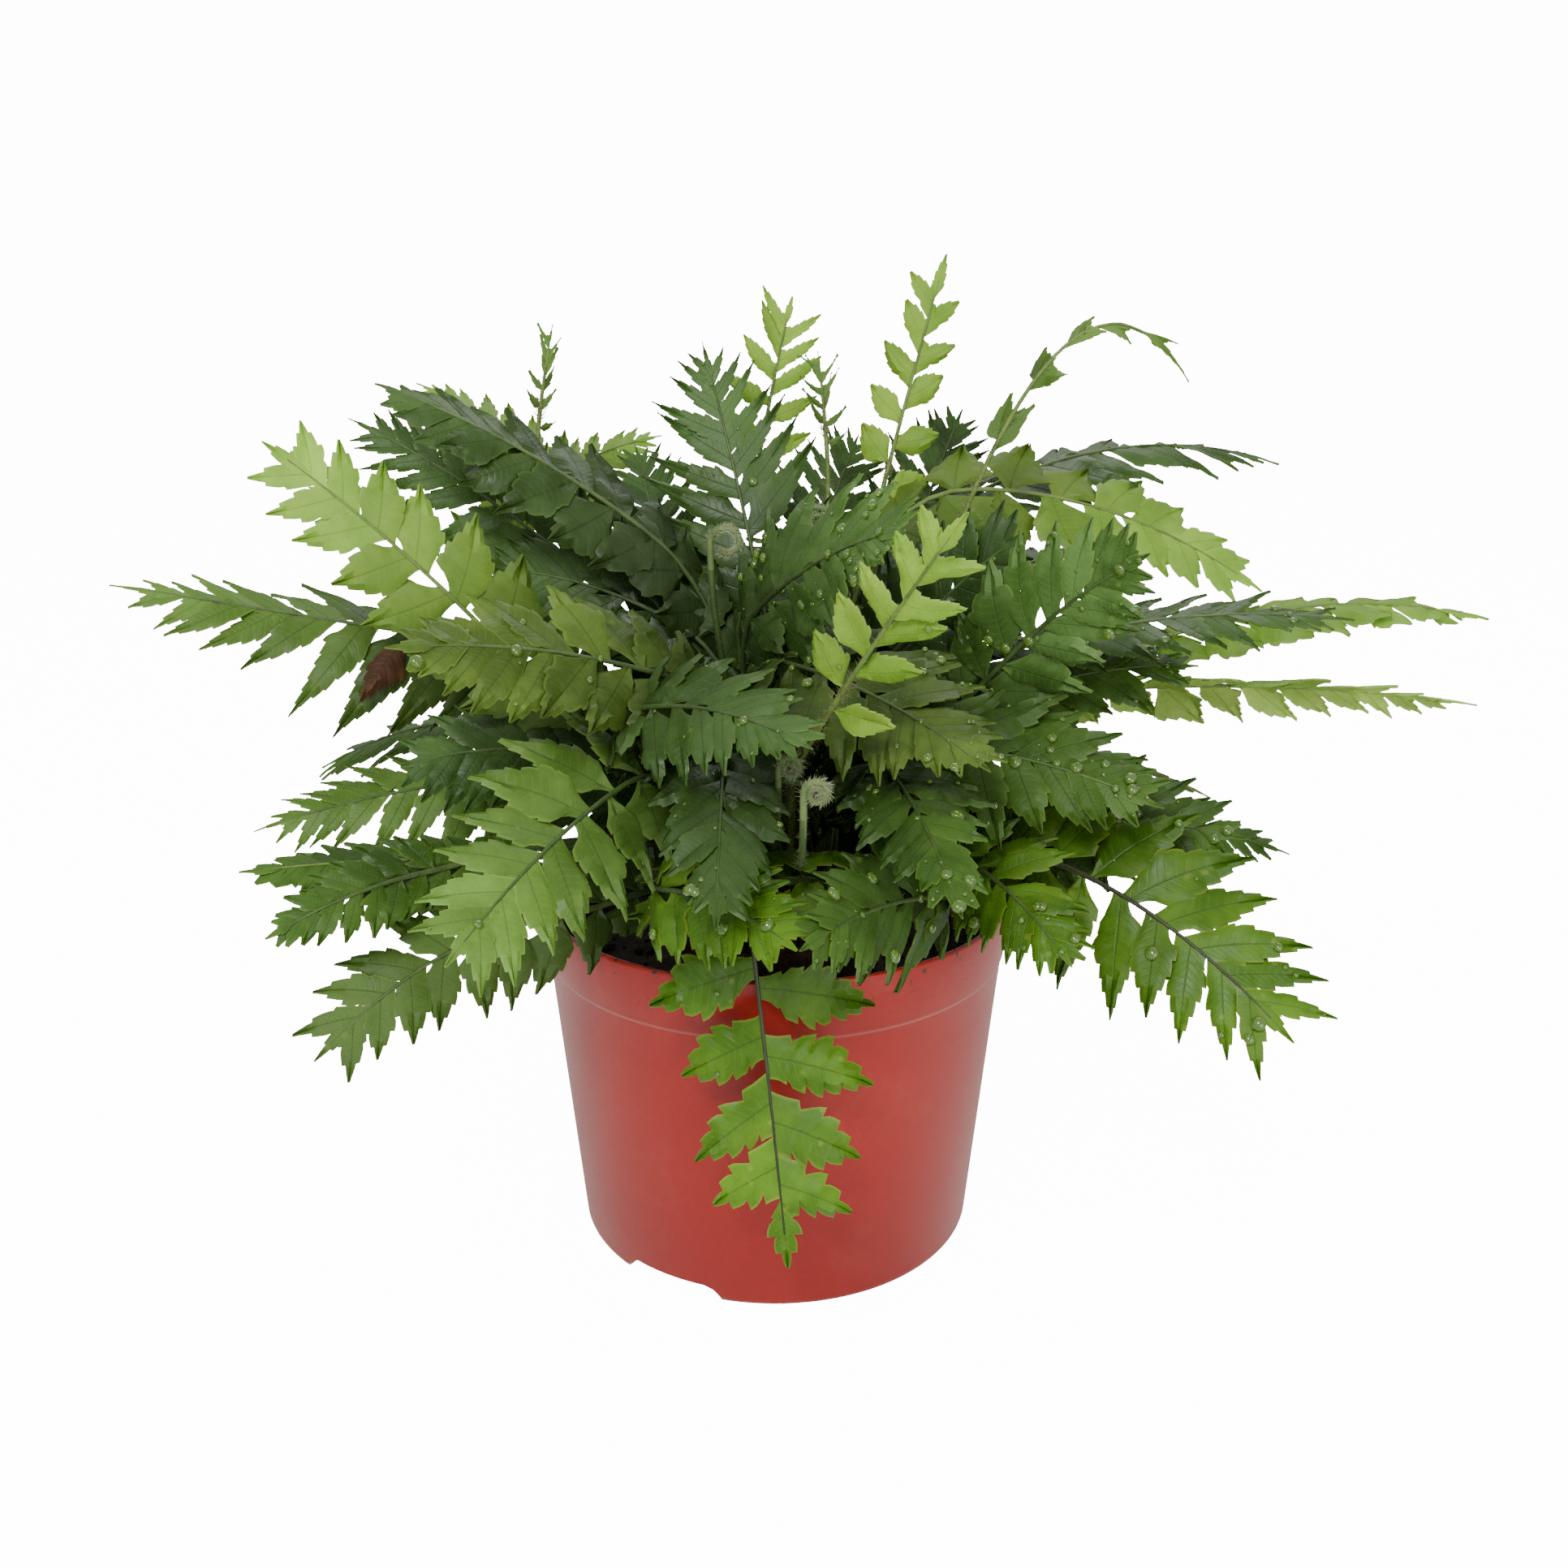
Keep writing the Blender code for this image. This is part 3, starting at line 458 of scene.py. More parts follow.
# Of each kind: pairs of leaflets, their angles at the blade's foot and tip, and how they shrink (taper) and
# crowd to the tip; the depth of lobes and teeth, the outline of a leaflet, and how unevenly the leaflets lie.
usualKind = dict(
    seat=0.5, lobe=0.26, fused=0.2, crowd=0.45, tooth=3.2, bite=0.9, peak=0.36, foot=0.3, belly=1.25,
    point=1.05, sweep=0.14, fill=0.62, loose=1.0, lower=5, cut=0.24, endWidth=0.3, footShrink=0.1)
kinds = {
    "large": dict(
        pairs=8, spread=(64, 34), taper=0.8, lobe=0.06, fused=0.3, tooth=2.9, bite=0.65, peak=0.22, foot=0.62,
        belly=1.3, fill=0.57, loose=1.3),
    "wide": dict(
        pairs=6, spread=(76, 44), taper=0.6, lobe=0.2, fused=0.15, crowd=0.4, tooth=3.3, bite=1.0, foot=0.26,
        belly=1.2),
    "small": dict(
        pairs=7, spread=(64, 38), taper=0.76, fill=0.76, lobe=0.36, peak=0.4, belly=1.35, loose=1.8),
    "inner": dict(
        pairs=6, spread=(64, 38), taper=0.72, fill=0.78, lobe=0.36, peak=0.4, belly=1.35, loose=1.8),
    "plain": dict(
        pairs=7, spread=(60, 34), taper=0.78, lobe=0.1, fused=0.3, peak=0.28, foot=0.5, belly=1.3, fill=0.58),
    "loose": dict(
        pairs=5, spread=(88, 60), taper=0.5, seat=0.21, lobe=0.4, fused=0.0, crowd=0.25, tooth=3.8, bite=3.0,
        peak=0.4, foot=0.12, belly=1.5, fill=0.5, sweep=0.06, lower=3, cut=0.5, endWidth=0.5, footShrink=0.0,
        loose=1.5),
    "young": dict(
        pairs=5, spread=(78, 50), taper=0.4, seat=0.21, lobe=0.0, fused=0.0, point=0.9, crowd=0.3, tooth=1.9,
        bite=0.5, peak=0.38, foot=0.1, belly=1.9, fill=0.35, loose=2.8, lower=0, sweep=0.26),
    "curly": dict(
        pairs=5, spread=(70, 40), taper=0.3, seat=0.21, lobe=0.0, fused=0.0, crowd=0.2, tooth=1.4, bite=0.3,
        peak=0.3, foot=0.1, fill=0.26, sweep=0.5, loose=5.0, lower=0),
}
for name, own in kinds.items():
    kinds[name] = {**usualKind, **own}

# name, blade base, tip, half width, arch, lean of the upper face to the viewer, droop, kind, leaf
fronds = (
    ("front_hanging", (-6, -62, 114), (3, -80, 32), 29, 5, 90, 0.1, "loose", "fresh"),
    ("young_front", (12, -76, 160), (33, -110, 203), 13, 1, 80, 0.05, "young", "young"),
    ("young_tall", (27, 20, 190), (41, 25, 243), 11, 1, 80, 0.05, "young", "young"),
    ("young_arched", (46, 0, 188), (93, 0, 222), 5, 44, 50, 0.05, "curly", "soft"),
    ("front_right_big", (64, -60, 119), (103, -99, 98), 26, 8, 66, 0.12, "wide", "fresh"),
    ("left_long", (-68, -8, 156), (-147, -30, 175), 24, 0, 30, 0.5, "large", "soft"),
    ("top_middle", (-4, 8, 168), (-18, 32, 223), 25, 4, 80, 0.1, "large", "blue"),
    ("right_long", (90, 5, 142), (168, -10, 142), 16, 4, -40, 0.25, "large", "light"),
    ("right_upper", (54, 30, 188), (139, 72, 189), 22, 15, 10, 0.25, "large", "blue"),
    ("right_light", (50, 15, 190), (123, 22, 164), 19, 12, 40, 0.15, "wide", "light"),
    ("left_upper", (-46, 12, 168), (-104, 20, 206), 24, 6, 50, 0.15, "large", "blue"),
    ("left_pale", (-58, -33, 158), (-106, -45, 208), 20, 5, 60, 0.15, "wide", "light"),
    ("left_droop", (-52, -52, 103), (-95, -86, 87), 19, 12, 66, 0.15, "wide", "soft"),
    ("front_left", (-32, -56, 137), (-60, -115, 122), 25, 6, 70, 0.1, "wide", "soft"),
    ("left_low", (-58, -10, 123), (-121, -30, 117), 21, 6, 40, 0.3, "large", "soft"),
    ("centre_wet", (-3, -18, 168), (26, -62, 193), 24, 6, 55, 0.1, "small", "blue"),
    ("front_right_mid", (24, -38, 140), (80, -70, 137), 24, 8, 45, 0.15, "small", "mid"),
    ("front_olive", (2, -32, 158), (42, -85, 150), 23, 6, 50, 0.15, "small", "olive"),
    ("right_mid", (62, -10, 157), (130, -28, 167), 21, 7, 12, 0.15, "large", "blue"),
    ("right_far", (108, 26, 152), (182, 22, 156), 16, 10, 8, 0.1, "small", "light"),
    ("left_edge", (-32, 0, 183), (-90, -8, 217), 20, 6, 30, 0.3, "small", "blue"),
    ("left_low_pale", (-66, -48, 116), (-112, -70, 122), 14, 2, 22, 0.25, "small", "mid"),
    ("left_olive", (-26, -42, 158), (-76, -75, 172), 20, 5, 45, 0.1, "small", "olive"),
    ("front_middle", (-11, -42, 142), (-11, -100, 123), 20, 8, 36, 0.1, "small", "blue"),
    ("front_turned", (38, -60, 112), (6, -105, 120), 19, 6, 70, 0.15, "small", "mid"),
    ("front_right_tip", (42, -58, 120), (60, -90, 110), 16, 5, 70, 0.2, "small", "fresh"),
    ("front_down", (24, -50, 139), (36, -104, 127), 17, 8, 50, 0.15, "small", "mid"),
    ("front_blue", (-28, -52, 153), (7, -84, 154), 18, 6, 44, 0.15, "small", "blue"),
    ("front_low_left", (-23, -68, 117), (4, -98, 117), 16, 5, 56, 0.1, "inner", "fresh"),
    ("right_front", (48, -35, 120), (101, -60, 126), 20, 6, 50, 0.15, "small", "mid"),
    ("right_inner", (50, -12, 142), (98, -20, 154), 19, 6, 25, 0.2, "small", "mid"),
    ("right_up", (50, -30, 155), (76, -62, 188), 20, 5, 72, 0.1, "small", "blue"),
    ("right_low_back", (72, 34, 118), (124, 55, 96), 13, 5, -8, 0.1, "plain", "olive"),
    ("right_low", (76, 8, 104), (135, 15, 94), 16, 8, 30, 0.25, "plain", "mid"),
    ("top_right_back", (34, 30, 168), (49, 50, 205), 19, 4, 70, 0.1, "plain", "deep"),
    ("top_back", (10, 34, 168), (22, 55, 198), 20, 4, 70, 0.1, "plain", "deep"),
    ("top_left_back", (-28, 24, 164), (-37, 48, 196), 18, 4, 70, 0.1, "plain", "deep"),
    ("middle_left", (-24, -2, 160), (-68, 4, 172), 21, 6, 60, 0.1, "inner", "deep"),
    ("middle_right", (24, -16, 152), (55, -28, 186), 21, 4, 58, 0.1, "inner", "deep"),
    ("middle_low_left", (-40, -28, 134), (-82, -46, 138), 19, 6, 50, 0.1, "inner", "deep"),
    ("left_low_tip", (-77, -64, 119), (-103, -86, 114), 11, 3, 60, 0.15, "small", "mid"),
    ("middle_centre", (-10, 12, 143), (-19, 22, 176), 17, 3, 76, 0.1, "inner", "deep"),
    ("back_left_pale", (-58, 58, 184), (-101, 85, 209), 18, 6, 20, 0.15, "plain", "light"),
    ("back_top", (-74, 60, 178), (-34, 90, 194), 16, 6, 40, 0.15, "plain", "light"),
    ("back_middle", (5, 60, 150), (10, 140, 160), 30, 10, 0, 0.15, "large", "mid"),
    ("back_low_left", (-38, 62, 125), (-66, 134, 108), 26, 10, -10, 0.15, "plain", "mid"),
    ("back_low_right", (32, 62, 122), (56, 136, 104), 26, 10, -10, 0.15, "plain", "mid"),
    ("back_right", (55, 65, 152), (108, 118, 156), 25, 10, 0, 0.15, "plain", "deep"),
    ("back_left_low", (-73, 35, 125), (-129, 56, 105), 24, 8, 10, 0.15, "plain", "mid"),
    ("back_hanging", (0, 62, 112), (0, 100, 60), 22, 6, -60, 0.15, "plain", "fresh"),
    ("young_top", (-4, 45, 196), (4, 48, 233), 14, 2, 80, 0.05, "young", "young"),
    ("young_curled", (-62, 45, 203), (-58, 48, 226), 4.5, 2, 70, 0.05, "curly", "soft"),
    ("young_dark", (13, 35, 200), (11, 40, 220), 6, 2, 70, 0.05, "curly", "soft"),
)
# stalks that differ from the usual green, or pale under a light or young leaf
oddStalks = {"front_hanging": "dark", "front_right_big": "dark", "left_low_pale": "pale"}

# name, point where the roll begins, way that the roll turns (+1 to the right), roll radius, turns
croziers = (
    ("crozier_left", (-14, -36, 186), 1, 3.6, 0.85),
    ("crozier_middle", (14, 0, 184), -1, 4.4, 2.0),
    ("crozier_front", (6, -95, 148), 1, 2.6, 1.6),
    ("crozier_low", (1, -64, 143), 1, 2.6, 1.6),
)

stalk = dict(
    width=2.0, ribWidth=0.95, ribFoot=1.3, ribTip=0.35, ribEnd=0.94, rise=0.42, runIn=0.34, rootGap=0.4,
    collarRise=1.5, rings=16, bladeRings=22, pastTip=1.08, around=7)
rimRest = dict(radius=61.5, height=94.0, give=0.08)
upwards = np.array((0.0, 0.0, 1.0))


def stalkLine(slot, end, runWay):
    # the root in the crown, and the curve from the crown's top to the stalk's end
    top = crownHeight(math.hypot(*slot))
    root = np.array((*slot, top - crown["slotDepth"] + stalk["rootGap"]))
    collar = np.array((*slot, top + stalk["collarRise"]))
    reach = np.linalg.norm(end - collar)
    rise, runIn = reach * stalk["rise"] * upwards, reach * stalk["runIn"] * runWay
    return root, [collar, collar + rise, end - runIn, end]


def frondCurve(row, slot):
    name, base, tip, halfWidth, arch, lean, droop, kind = row[:8]
    frond = dict(name=name, kind=kinds[kind], halfWidth=halfWidth, droop=droop)
    frond["seed"] = sum(ord(letter) for letter in name)
    base, tip = np.array(base, float), np.array(tip, float)
    tilt = math.radians(lean)
    frond["face"] = np.array((0.0, -math.sin(tilt), math.cos(tilt)))
    frond["length"] = np.linalg.norm(tip - base)
    blade = [base, (base + tip) / 2 + upwards * arch, tip]
    root, curve = stalkLine(slot, base, unit(blade[1] - base))
    frond["rail"] = railOf(frond, root, curve, blade)
    return frond


def railOf(frond, root, stalkCurve, bladeCurve):
    # the line from the root to the tip with its side and normal, told by the length past the blade's foot
    shares = np.linspace(0.0, 1.0, stalk["rings"] + 1)[:-1]
    centres = np.vstack([root, bezier(stalkCurve, shares)])
    ways = unit(np.vstack([upwards, bezierSlope(stalkCurve, shares)]))
    steps = np.linalg.norm(np.diff(np.vstack([centres, bladeCurve[0]]), axis=0), axis=1)
    bladeShares = np.linspace(0.0, stalk["pastTip"], stalk["bladeRings"])
    bladeWays = unit(bezierSlope(bladeCurve, bladeShares))
    bladeSides = unit(np.cross(bladeWays, frond["face"]))
    sides = np.zeros_like(ways)
    before, side = bladeWays[0], bladeSides[0]
    for step in reversed(range(len(ways))):
        # turned with the line, without a twist
        axis = np.cross(before, ways[step])
        agree = before @ ways[step]
        side = unit(side * agree + np.cross(axis, side) + axis * (axis @ side) / (1.0 + agree))
        sides[step] = side
        before = ways[step]
    return dict(
        at=np.concatenate([-np.cumsum(steps[::-1])[::-1], bladeShares * frond["length"]]),
        centres=np.vstack([centres, bezier(bladeCurve, bladeShares)]),
        ways=np.vstack([ways, bladeWays]), sides=np.vstack([sides, bladeSides]))


def railAt(frond, along):
    # centre, way, side and normal of the rail at the given lengths
    rail = frond["rail"]
    parts = []
    for name in ("centres", "ways", "sides"):
        parts.append(np.stack([np.interp(along, rail["at"], values) for values in rail[name].T], axis=-1))
    centres, ways, sides = parts
    ways, sides = unit(ways), unit(sides)
    return centres, ways, sides, np.cross(sides, ways)


def bladePoints(frond, along, across, height, place):
    # points along, across and over the blade; the leaflets below its foot keep the plane of their place
    at = np.full_like(along, place) if place < 0 else along
    centres, ways, sides, normals = railAt(frond, at)
    points = centres + ways * (along - at)[:, None] + sides * across[:, None] + normals * height[:, None]
    # what would sink into the pot lies on its rim
    flat = np.hypot(points[:, 0], points[:, 1])
    sunk = rimRest["height"] - points[:, 2]
    low = (flat < rimRest["radius"]) & (sunk > 0)
    points[:, 2] = np.where(low, rimRest["height"] - rimRest["give"] * sunk, points[:, 2])
    return points


def leafletSpans(kind):
    # start and end of every leaflet pair along the rib, closer together towards the tip
    gaps = 1 - kind["crowd"] * np.arange(kind["pairs"]) / (kind["pairs"] - 1)
    marks = np.concatenate([[0.0], np.cumsum(gaps)]) / gaps.sum() * 0.9
    return list(zip(marks, marks[1:]))


# one forward tooth of a leaflet's edge in four columns, and how far each column leans to the tip
toothRise = np.array((0.0, 0.5, 0.8, 1.0))
toothStep = np.array((0.0, 0.02, 0.08, 0.2))
leafletForm = dict(
    mostTeeth=9, tipWidth=0.02, teethPerLobe=2.4, auricle=0.25, auricleAt=0.24, auricleSize=0.08,
    veinLean=0.3, footShare=0.52, sway=0.07, tilt=0.16, groove=-0.09, swell=0.07, edge=-0.05, wave=0.07,
    stagger=0.35, thickness=0.35, crowding=1.15, notchFrom=0.15, notchOpen=0.45, notchClose=0.16,
    lobeFade=1.3, biteFade=0.75, fineReach=7, footLength=0.16, footGrowth=0.2, tipFusing=1.3)


def leafletOutline(kind, reach, half, level):
    # column by column: share along the midrib, half width, forward step of the edge
    form = leafletForm
    teeth = max(2, min(form["mostTeeth"], round(reach / kind["tooth"])))
    columns = teeth * 4
    steps = np.arange(columns + 1)
    share = 1 - (1 - steps / columns) ** form["crowding"]
    foot = kind["foot"] + (1 - kind["foot"]) * level
    rise = np.sin(np.minimum(1.0, share / kind["peak"]) * math.pi / 2)
    fall = np.maximum(0.0, share - kind["peak"]) / (1 - kind["peak"])
    envelope = (foot + (1 - foot) * rise) * (1 - fall ** kind["belly"]) ** kind["point"]
    phase = (share * max(2.0, teeth / form["teethPerLobe"]) + 0.25) % 1.0
    notch = 1 - np.minimum(phase / form["notchOpen"], (1 - phase) / form["notchClose"])
    notch = np.where(share < form["notchFrom"], 0.0, np.maximum(0.0, notch))
    lobeDepth = kind["lobe"] * max(0.0, 1 - form["lobeFade"] * level) * (1 - share) ** 0.4
    width = half * envelope * (1 - lobeDepth * notch)
    depth = np.minimum(kind["bite"] * (1 - form["biteFade"] * share), kind["cut"] * width)
    width = width - depth * (1 - toothRise[steps % 4])
    narrowest = form["tipWidth"] * half
    width[-1] = narrowest
    forward = toothStep[steps % 4] * reach / teeth
    forward[0] = forward[-1] = 0.0
    return share, np.maximum(width, narrowest), forward


def addLeaflet(shape, frond, leaf):
    # one toothed leaflet as a grid whose columns follow its veins; its base lies along the rib
    kind, form, halfWidth = frond["kind"], leafletForm, frond["halfWidth"]
    place, side, reach, half, level = (leaf[name] for name in ("place", "side", "reach", "half", "level"))
    share, width, forward = leafletOutline(kind, reach, half, level)
    columns = len(share) - 1
    rows = 4 if reach > form["fineReach"] else 2
    grid = bmesh.ops.create_grid(shape, x_segments=columns, y_segments=rows, size=0.5, calc_uvs=True)["verts"]
    column = np.array([round((vert.co.x + 0.5) * columns) for vert in grid])
    across = np.array([vert.co.y * 2 for vert in grid]) * side
    far = np.abs(across)
    start = share[column]
    fromAuricle = (start - form["auricleAt"]) / form["auricleSize"]
    auricle = np.where(across > 0, form["auricle"] * (1 - level) * np.exp(-(fromAuricle**2)), 0.0)
    wide = width[column] * (1 + auricle)
    settled = np.minimum(1.0, start / (form["footLength"] + form["footGrowth"] * level))
    settled = settled * settled * (3 - 2 * settled)
    lean = form["veinLean"] * settled * (1 - start) ** 0.7 * wide * far**1.3
    out = start * reach + lean + forward[column] * far**3
    off = wide * across
    cosine, sine = math.cos(leaf["angle"]), math.sin(leaf["angle"])
    along = place + out * cosine + off * sine + kind["sweep"] * reach * (out / reach) ** 2
    sideways = out * sine - off * cosine
    # the foot of the leaflet runs along the rib, and closes up with its neighbours where they are fused
    fused = min(1.0, kind["fused"] + form["tipFusing"] * level)
    foot = place + across * leaf["span"] * form["footShare"] * fused + out * cosine
    along = foot * (1 - settled) + along * settled
    sideways = side * (out * sine * (1 - settled) + sideways * settled)
    # height over the blade: its cross-section, the leaflet's own tilt, then its folds and curls
    phase = frond["seed"] * 0.7 + leaf["index"] * 2.4 + side * 1.3
    sway = form["sway"] * math.sin(phase)
    tilt = form["tilt"] * math.sin(phase * 1.7 + 0.6) * (1 - 0.6 * level)
    outward = np.abs(sideways) / halfWidth
    height = halfWidth * (sway * outward - frond["droop"] * outward * (0.5 + 0.5 * outward))
    height = height + tilt * off * np.minimum(1.0, outward * 3.0)
    fold = np.where(far < 0.1, form["groove"], np.where(far < 0.8, form["swell"], form["edge"])) * half
    wave = form["wave"] * half * np.sin(column * leaf["waves"] + leaf["phase"]) * far
    curl = -leaf["fall"] * reach * start**2 - leaf["curl"] * wide * far**2
    lift = (fold + wave + curl + form["stagger"] * (leaf["index"] % 2)) * (0.2 + 0.8 * settled)
    points = bladePoints(frond, along, sideways, height + lift, place)
    for vert, point in zip(grid, points):
        vert.co = point
        vert[shape.verts.layers.float["toneAndShade"]] = leaf["toneAndShade"]
    return grid, column, across, reach


# how bright the leaflets of a frond are at its base and tip: partly the frond's own tone, partly painted
# shade that makes bases deep in the plant darker than tips
toneAndShadeEnds = {
    "left_long": (0.42, 1.15), "front_right_big": (0.55, 0.8), "left_droop": (0.55, 0.65),
    "left_edge": (0.5, 0.9), "centre_wet": (1.2, 1.6), "right_up": (1.2, 1.5), "right_light": (0.45, 1.4),
    "right_long": (1.0, 1.3), "front_left": (1.1, 1.3), "left_pale": (0.5, 1.3), "front_olive": (0.8, 1.0),
    "right_low": (0.6, 0.8), "right_front": (0.45, 0.8), "front_right_mid": (0.7, 0.9),
    "front_blue": (1.0, 1.3), "left_low": (0.8, 1.1), "front_right_tip": (0.6, 0.85),
    "young_front": (0.8, 1.05), "right_inner": (0.65, 0.85), "right_mid": (0.75, 0.95),
    "middle_right": (0.6, 0.8), "back_left_pale": (0.6, 1.1), "back_top": (0.6, 1.1), "right_far": (0.8, 1.2),
}
usualToneAndShade = (0.85, 1.05)
# how far a leaflet strays from its neighbours, drawn in this order
uneven = dict(
    waves=(0.35, 0.6), phase=(0, 6.3), fall=(-0.04, 0.12), curl=(-0.1, 0.3), toneAndShade=(0.84, 1.12),
    reach=(0.88, 1.04), half=(0.94, 1.14), angle=(-6, 6))
endLeaflet = dict(
    share=0.17, index=9, side=1, level=1.0, span=0.3, angle=0.0, waves=0.6, phase=0.0, fall=0.02, curl=0.1)


def toneAndShadeAt(frond, level):
    low, high = toneAndShadeEnds.get(frond["name"], usualToneAndShade)
    return low + (high - low) * level


def addLeaflets(shape, frond):
    # all leaflets from below the blade's foot to its tip; returns where each one's points lie
    draws = random.Random(frond["seed"])
    kind, length = frond["kind"], frond["length"]
    steep, flat = kind["spread"]
    spans = leafletSpans(kind)
    gap = spans[0][1]
    low = [(-gap * (number + 1), -gap * number) for number in range(kind["lower"])]
    spots = []
    for index, (start, end) in enumerate(low[::-1] + spans, start=-kind["lower"]):
        level = max(0.0, index / (kind["pairs"] - 1))
        angle = math.radians(steep + (flat - steep) * level)
        grow = 1.0 - kind["taper"] * level**1.1
        if index < 1:
            grow *= 0.95 + kind["footShrink"] * index
        reach = frond["halfWidth"] * grow / math.sin(angle)
        gap = (end - start) * length
        half = kind["fill"] * gap * math.sin(angle)
        middle = start + kind["seat"] * (end - start)
        for side in (1, -1):
            drawn = {name: draws.uniform(*span) for name, span in uneven.items()}
            leaf = dict(
                index=index, side=side, level=level, span=gap, waves=drawn["waves"], phase=drawn["phase"],
                fall=drawn["fall"] * kind["loose"], curl=drawn["curl"] * kind["loose"],
                toneAndShade=toneAndShadeAt(frond, level) * drawn["toneAndShade"], reach=reach * drawn["reach"],
                half=half * drawn["half"], angle=angle + math.radians(drawn["angle"]) * kind["loose"],
                place=middle * length - 0.1 * side * gap * kind["loose"])
            spots.append(addLeaflet(shape, frond, leaf))
    tipLength = endLeaflet["share"] * length
    tipHalf = min(kind["endWidth"] * tipLength, 0.75 * half)
    tip = dict(reach=tipLength, half=tipHalf, place=length - tipLength, toneAndShade=toneAndShadeAt(frond, 1.0))
    spots.append(addLeaflet(shape, frond, {**endLeaflet, **tip}))
    return spots


def addStalk(shape, frond, materialIndex):
    # the stalk from its root in the crown, and the rib on to the tip
    at = frond["rail"]["at"]
    at = at[at < stalk["ribEnd"] * frond["length"]]
    centres, ways, sides, normals = railAt(frond, at)
    down = np.clip(at / at[0], 0.0, 1.0)
    up = np.clip(at / frond["length"], 0.0, 1.0)
    foot = stalk["ribWidth"] * stalk["ribFoot"]
    radii = (foot + (stalk["width"] - foot) * down - (foot - stalk["ribTip"]) * up) / 2
    addTube(shape, centres, sides, normals, radii, stalk["around"], materialIndex)
    return centres, sides, normals, radii


def placeCopies(shape, first, places, materialIndex=0):
    # the small shape whose vertices are given, repeated at every place
    spots = [vert.co.copy() for vert in first]
    groups = [first]
    while len(groups) < len(places):
        chosen = groups[: len(places) - len(groups)]
        verts = [vert for group in chosen for vert in group]
        faces = list({face for vert in verts for face in vert.link_faces})
        edges = list({edge for vert in verts for edge in vert.link_edges})
        twins = bmesh.ops.duplicate(shape, geom=verts + edges + faces)["vert_map"]
        groups += [[twins[vert] for vert in group] for group in chosen]
    for group, place in zip(groups, places):
        for vert, spot in zip(group, spots):
            vert.co = place @ spot
    for face in {face for group in groups for vert in group for face in vert.link_faces}:
        face.material_index = materialIndex


scale = dict(foot=0.08, tip=0.015, sides=3, lean=(0.2, 1.4), size=(0.5, 1.2))


def addScales(shape, draws, line, count, length, first, last, materialIndex):
    # thin papery scales along a stalk, between two shares of its rings
    centres, sides, normals, radii = line
    levels = len(centres) - 1
    places = []
    for number in range(count):
        level = draws.uniform(first, last) * levels
        low = min(int(level), levels - 1)
        part = level - low
        centre = centres[low] * (1 - part) + centres[low + 1] * part
        turn = draws.uniform(0, 2 * math.pi)
        out = Vector(math.cos(turn) * sides[low] + math.sin(turn) * normals[low])
        way = Vector(unit(centres[low + 1] - centres[low]))
        lean = (out + way * draws.uniform(*scale["lean"])).normalized()
        size = length * draws.uniform(*scale["size"])
        spot = Vector(centre) + out * radii[low] * 0.8 + lean * size / 2
        places.append(aimed(spot, lean, (1.0, 1.0, size)))
    hair = bmesh.ops.create_cone(
        shape, segments=scale["sides"], radius1=scale["foot"], radius2=scale["tip"], depth=1.0)
    placeCopies(shape, hair["verts"], places, materialIndex)


dewSpots = []
# size of the drops, how far off tips and edges they lie, and the dew drops of each wet frond
dew = dict(
    smallest=0.35, spread=1.35, rarity=2.8, fromTip=0.85, fromEdge=0.8, leastReach=6, flat=0.62, lift=0.3,
    segments=10, rings=6)
wetFronds = {
    "centre_wet": 56, "front_right_mid": 60, "front_olive": 50, "right_up": 40, "front_right_big": 24,
    "front_down": 40, "front_right_tip": 20, "front_turned": 26, "front_hanging": 16, "right_front": 34,
    "front_middle": 20, "middle_right": 26, "right_mid": 22, "front_low_left": 14, "young_front": 3,
    "front_left": 8, "front_blue": 14, "right_long": 8, "top_middle": 14, "left_olive": 16, "right_inner": 18,
}


def addDewSpots(draws, count, spots):
    # where drops lie on the larger leaflets, off their tips and edges
    large = [spot for spot in spots if spot[3] > dew["leastReach"]]
    for drop in range(count):
        grid, column, across, reach = draws.choice(large)
        inside = (np.abs(across) < dew["fromEdge"]) & (column < dew["fromTip"] * max(column))
        vert = draws.choice([vert for vert, kept in zip(grid, inside) if kept])
        size = dew["smallest"] + dew["spread"] * draws.random() ** dew["rarity"]
        dewSpots.append((vert.co.copy(), vert.normal.copy(), size))


def thickened(shape):
    # gives the leaflets their thickness, with the underside in the second material
    sheet = newObject("blade", shape)
    for material in ("mid", "under"):
        sheet.data.materials.append(leafMaterials[material])
    wall = sheet.modifiers.new("thickness", "SOLIDIFY")
    wall.thickness = leafletForm["thickness"]
    wall.offset = -1.0
    wall.material_offset = 1
    return evaluatedShape(sheet)


def newLeafShape():
    shape = bmesh.new()
    shape.loops.layers.uv.new("leafUV")
    shape.verts.layers.float.new("toneAndShade")
    return shape


# hairs on a young stalk's foot and top and on a grown stalk: count, length, first and last share
youngHairs = ((460, 2.2, 0.14, 0.56), (70, 1.3, 0.56, 0.8))
grownHairs = ((26, 1.6, 0.02, 0.4),)


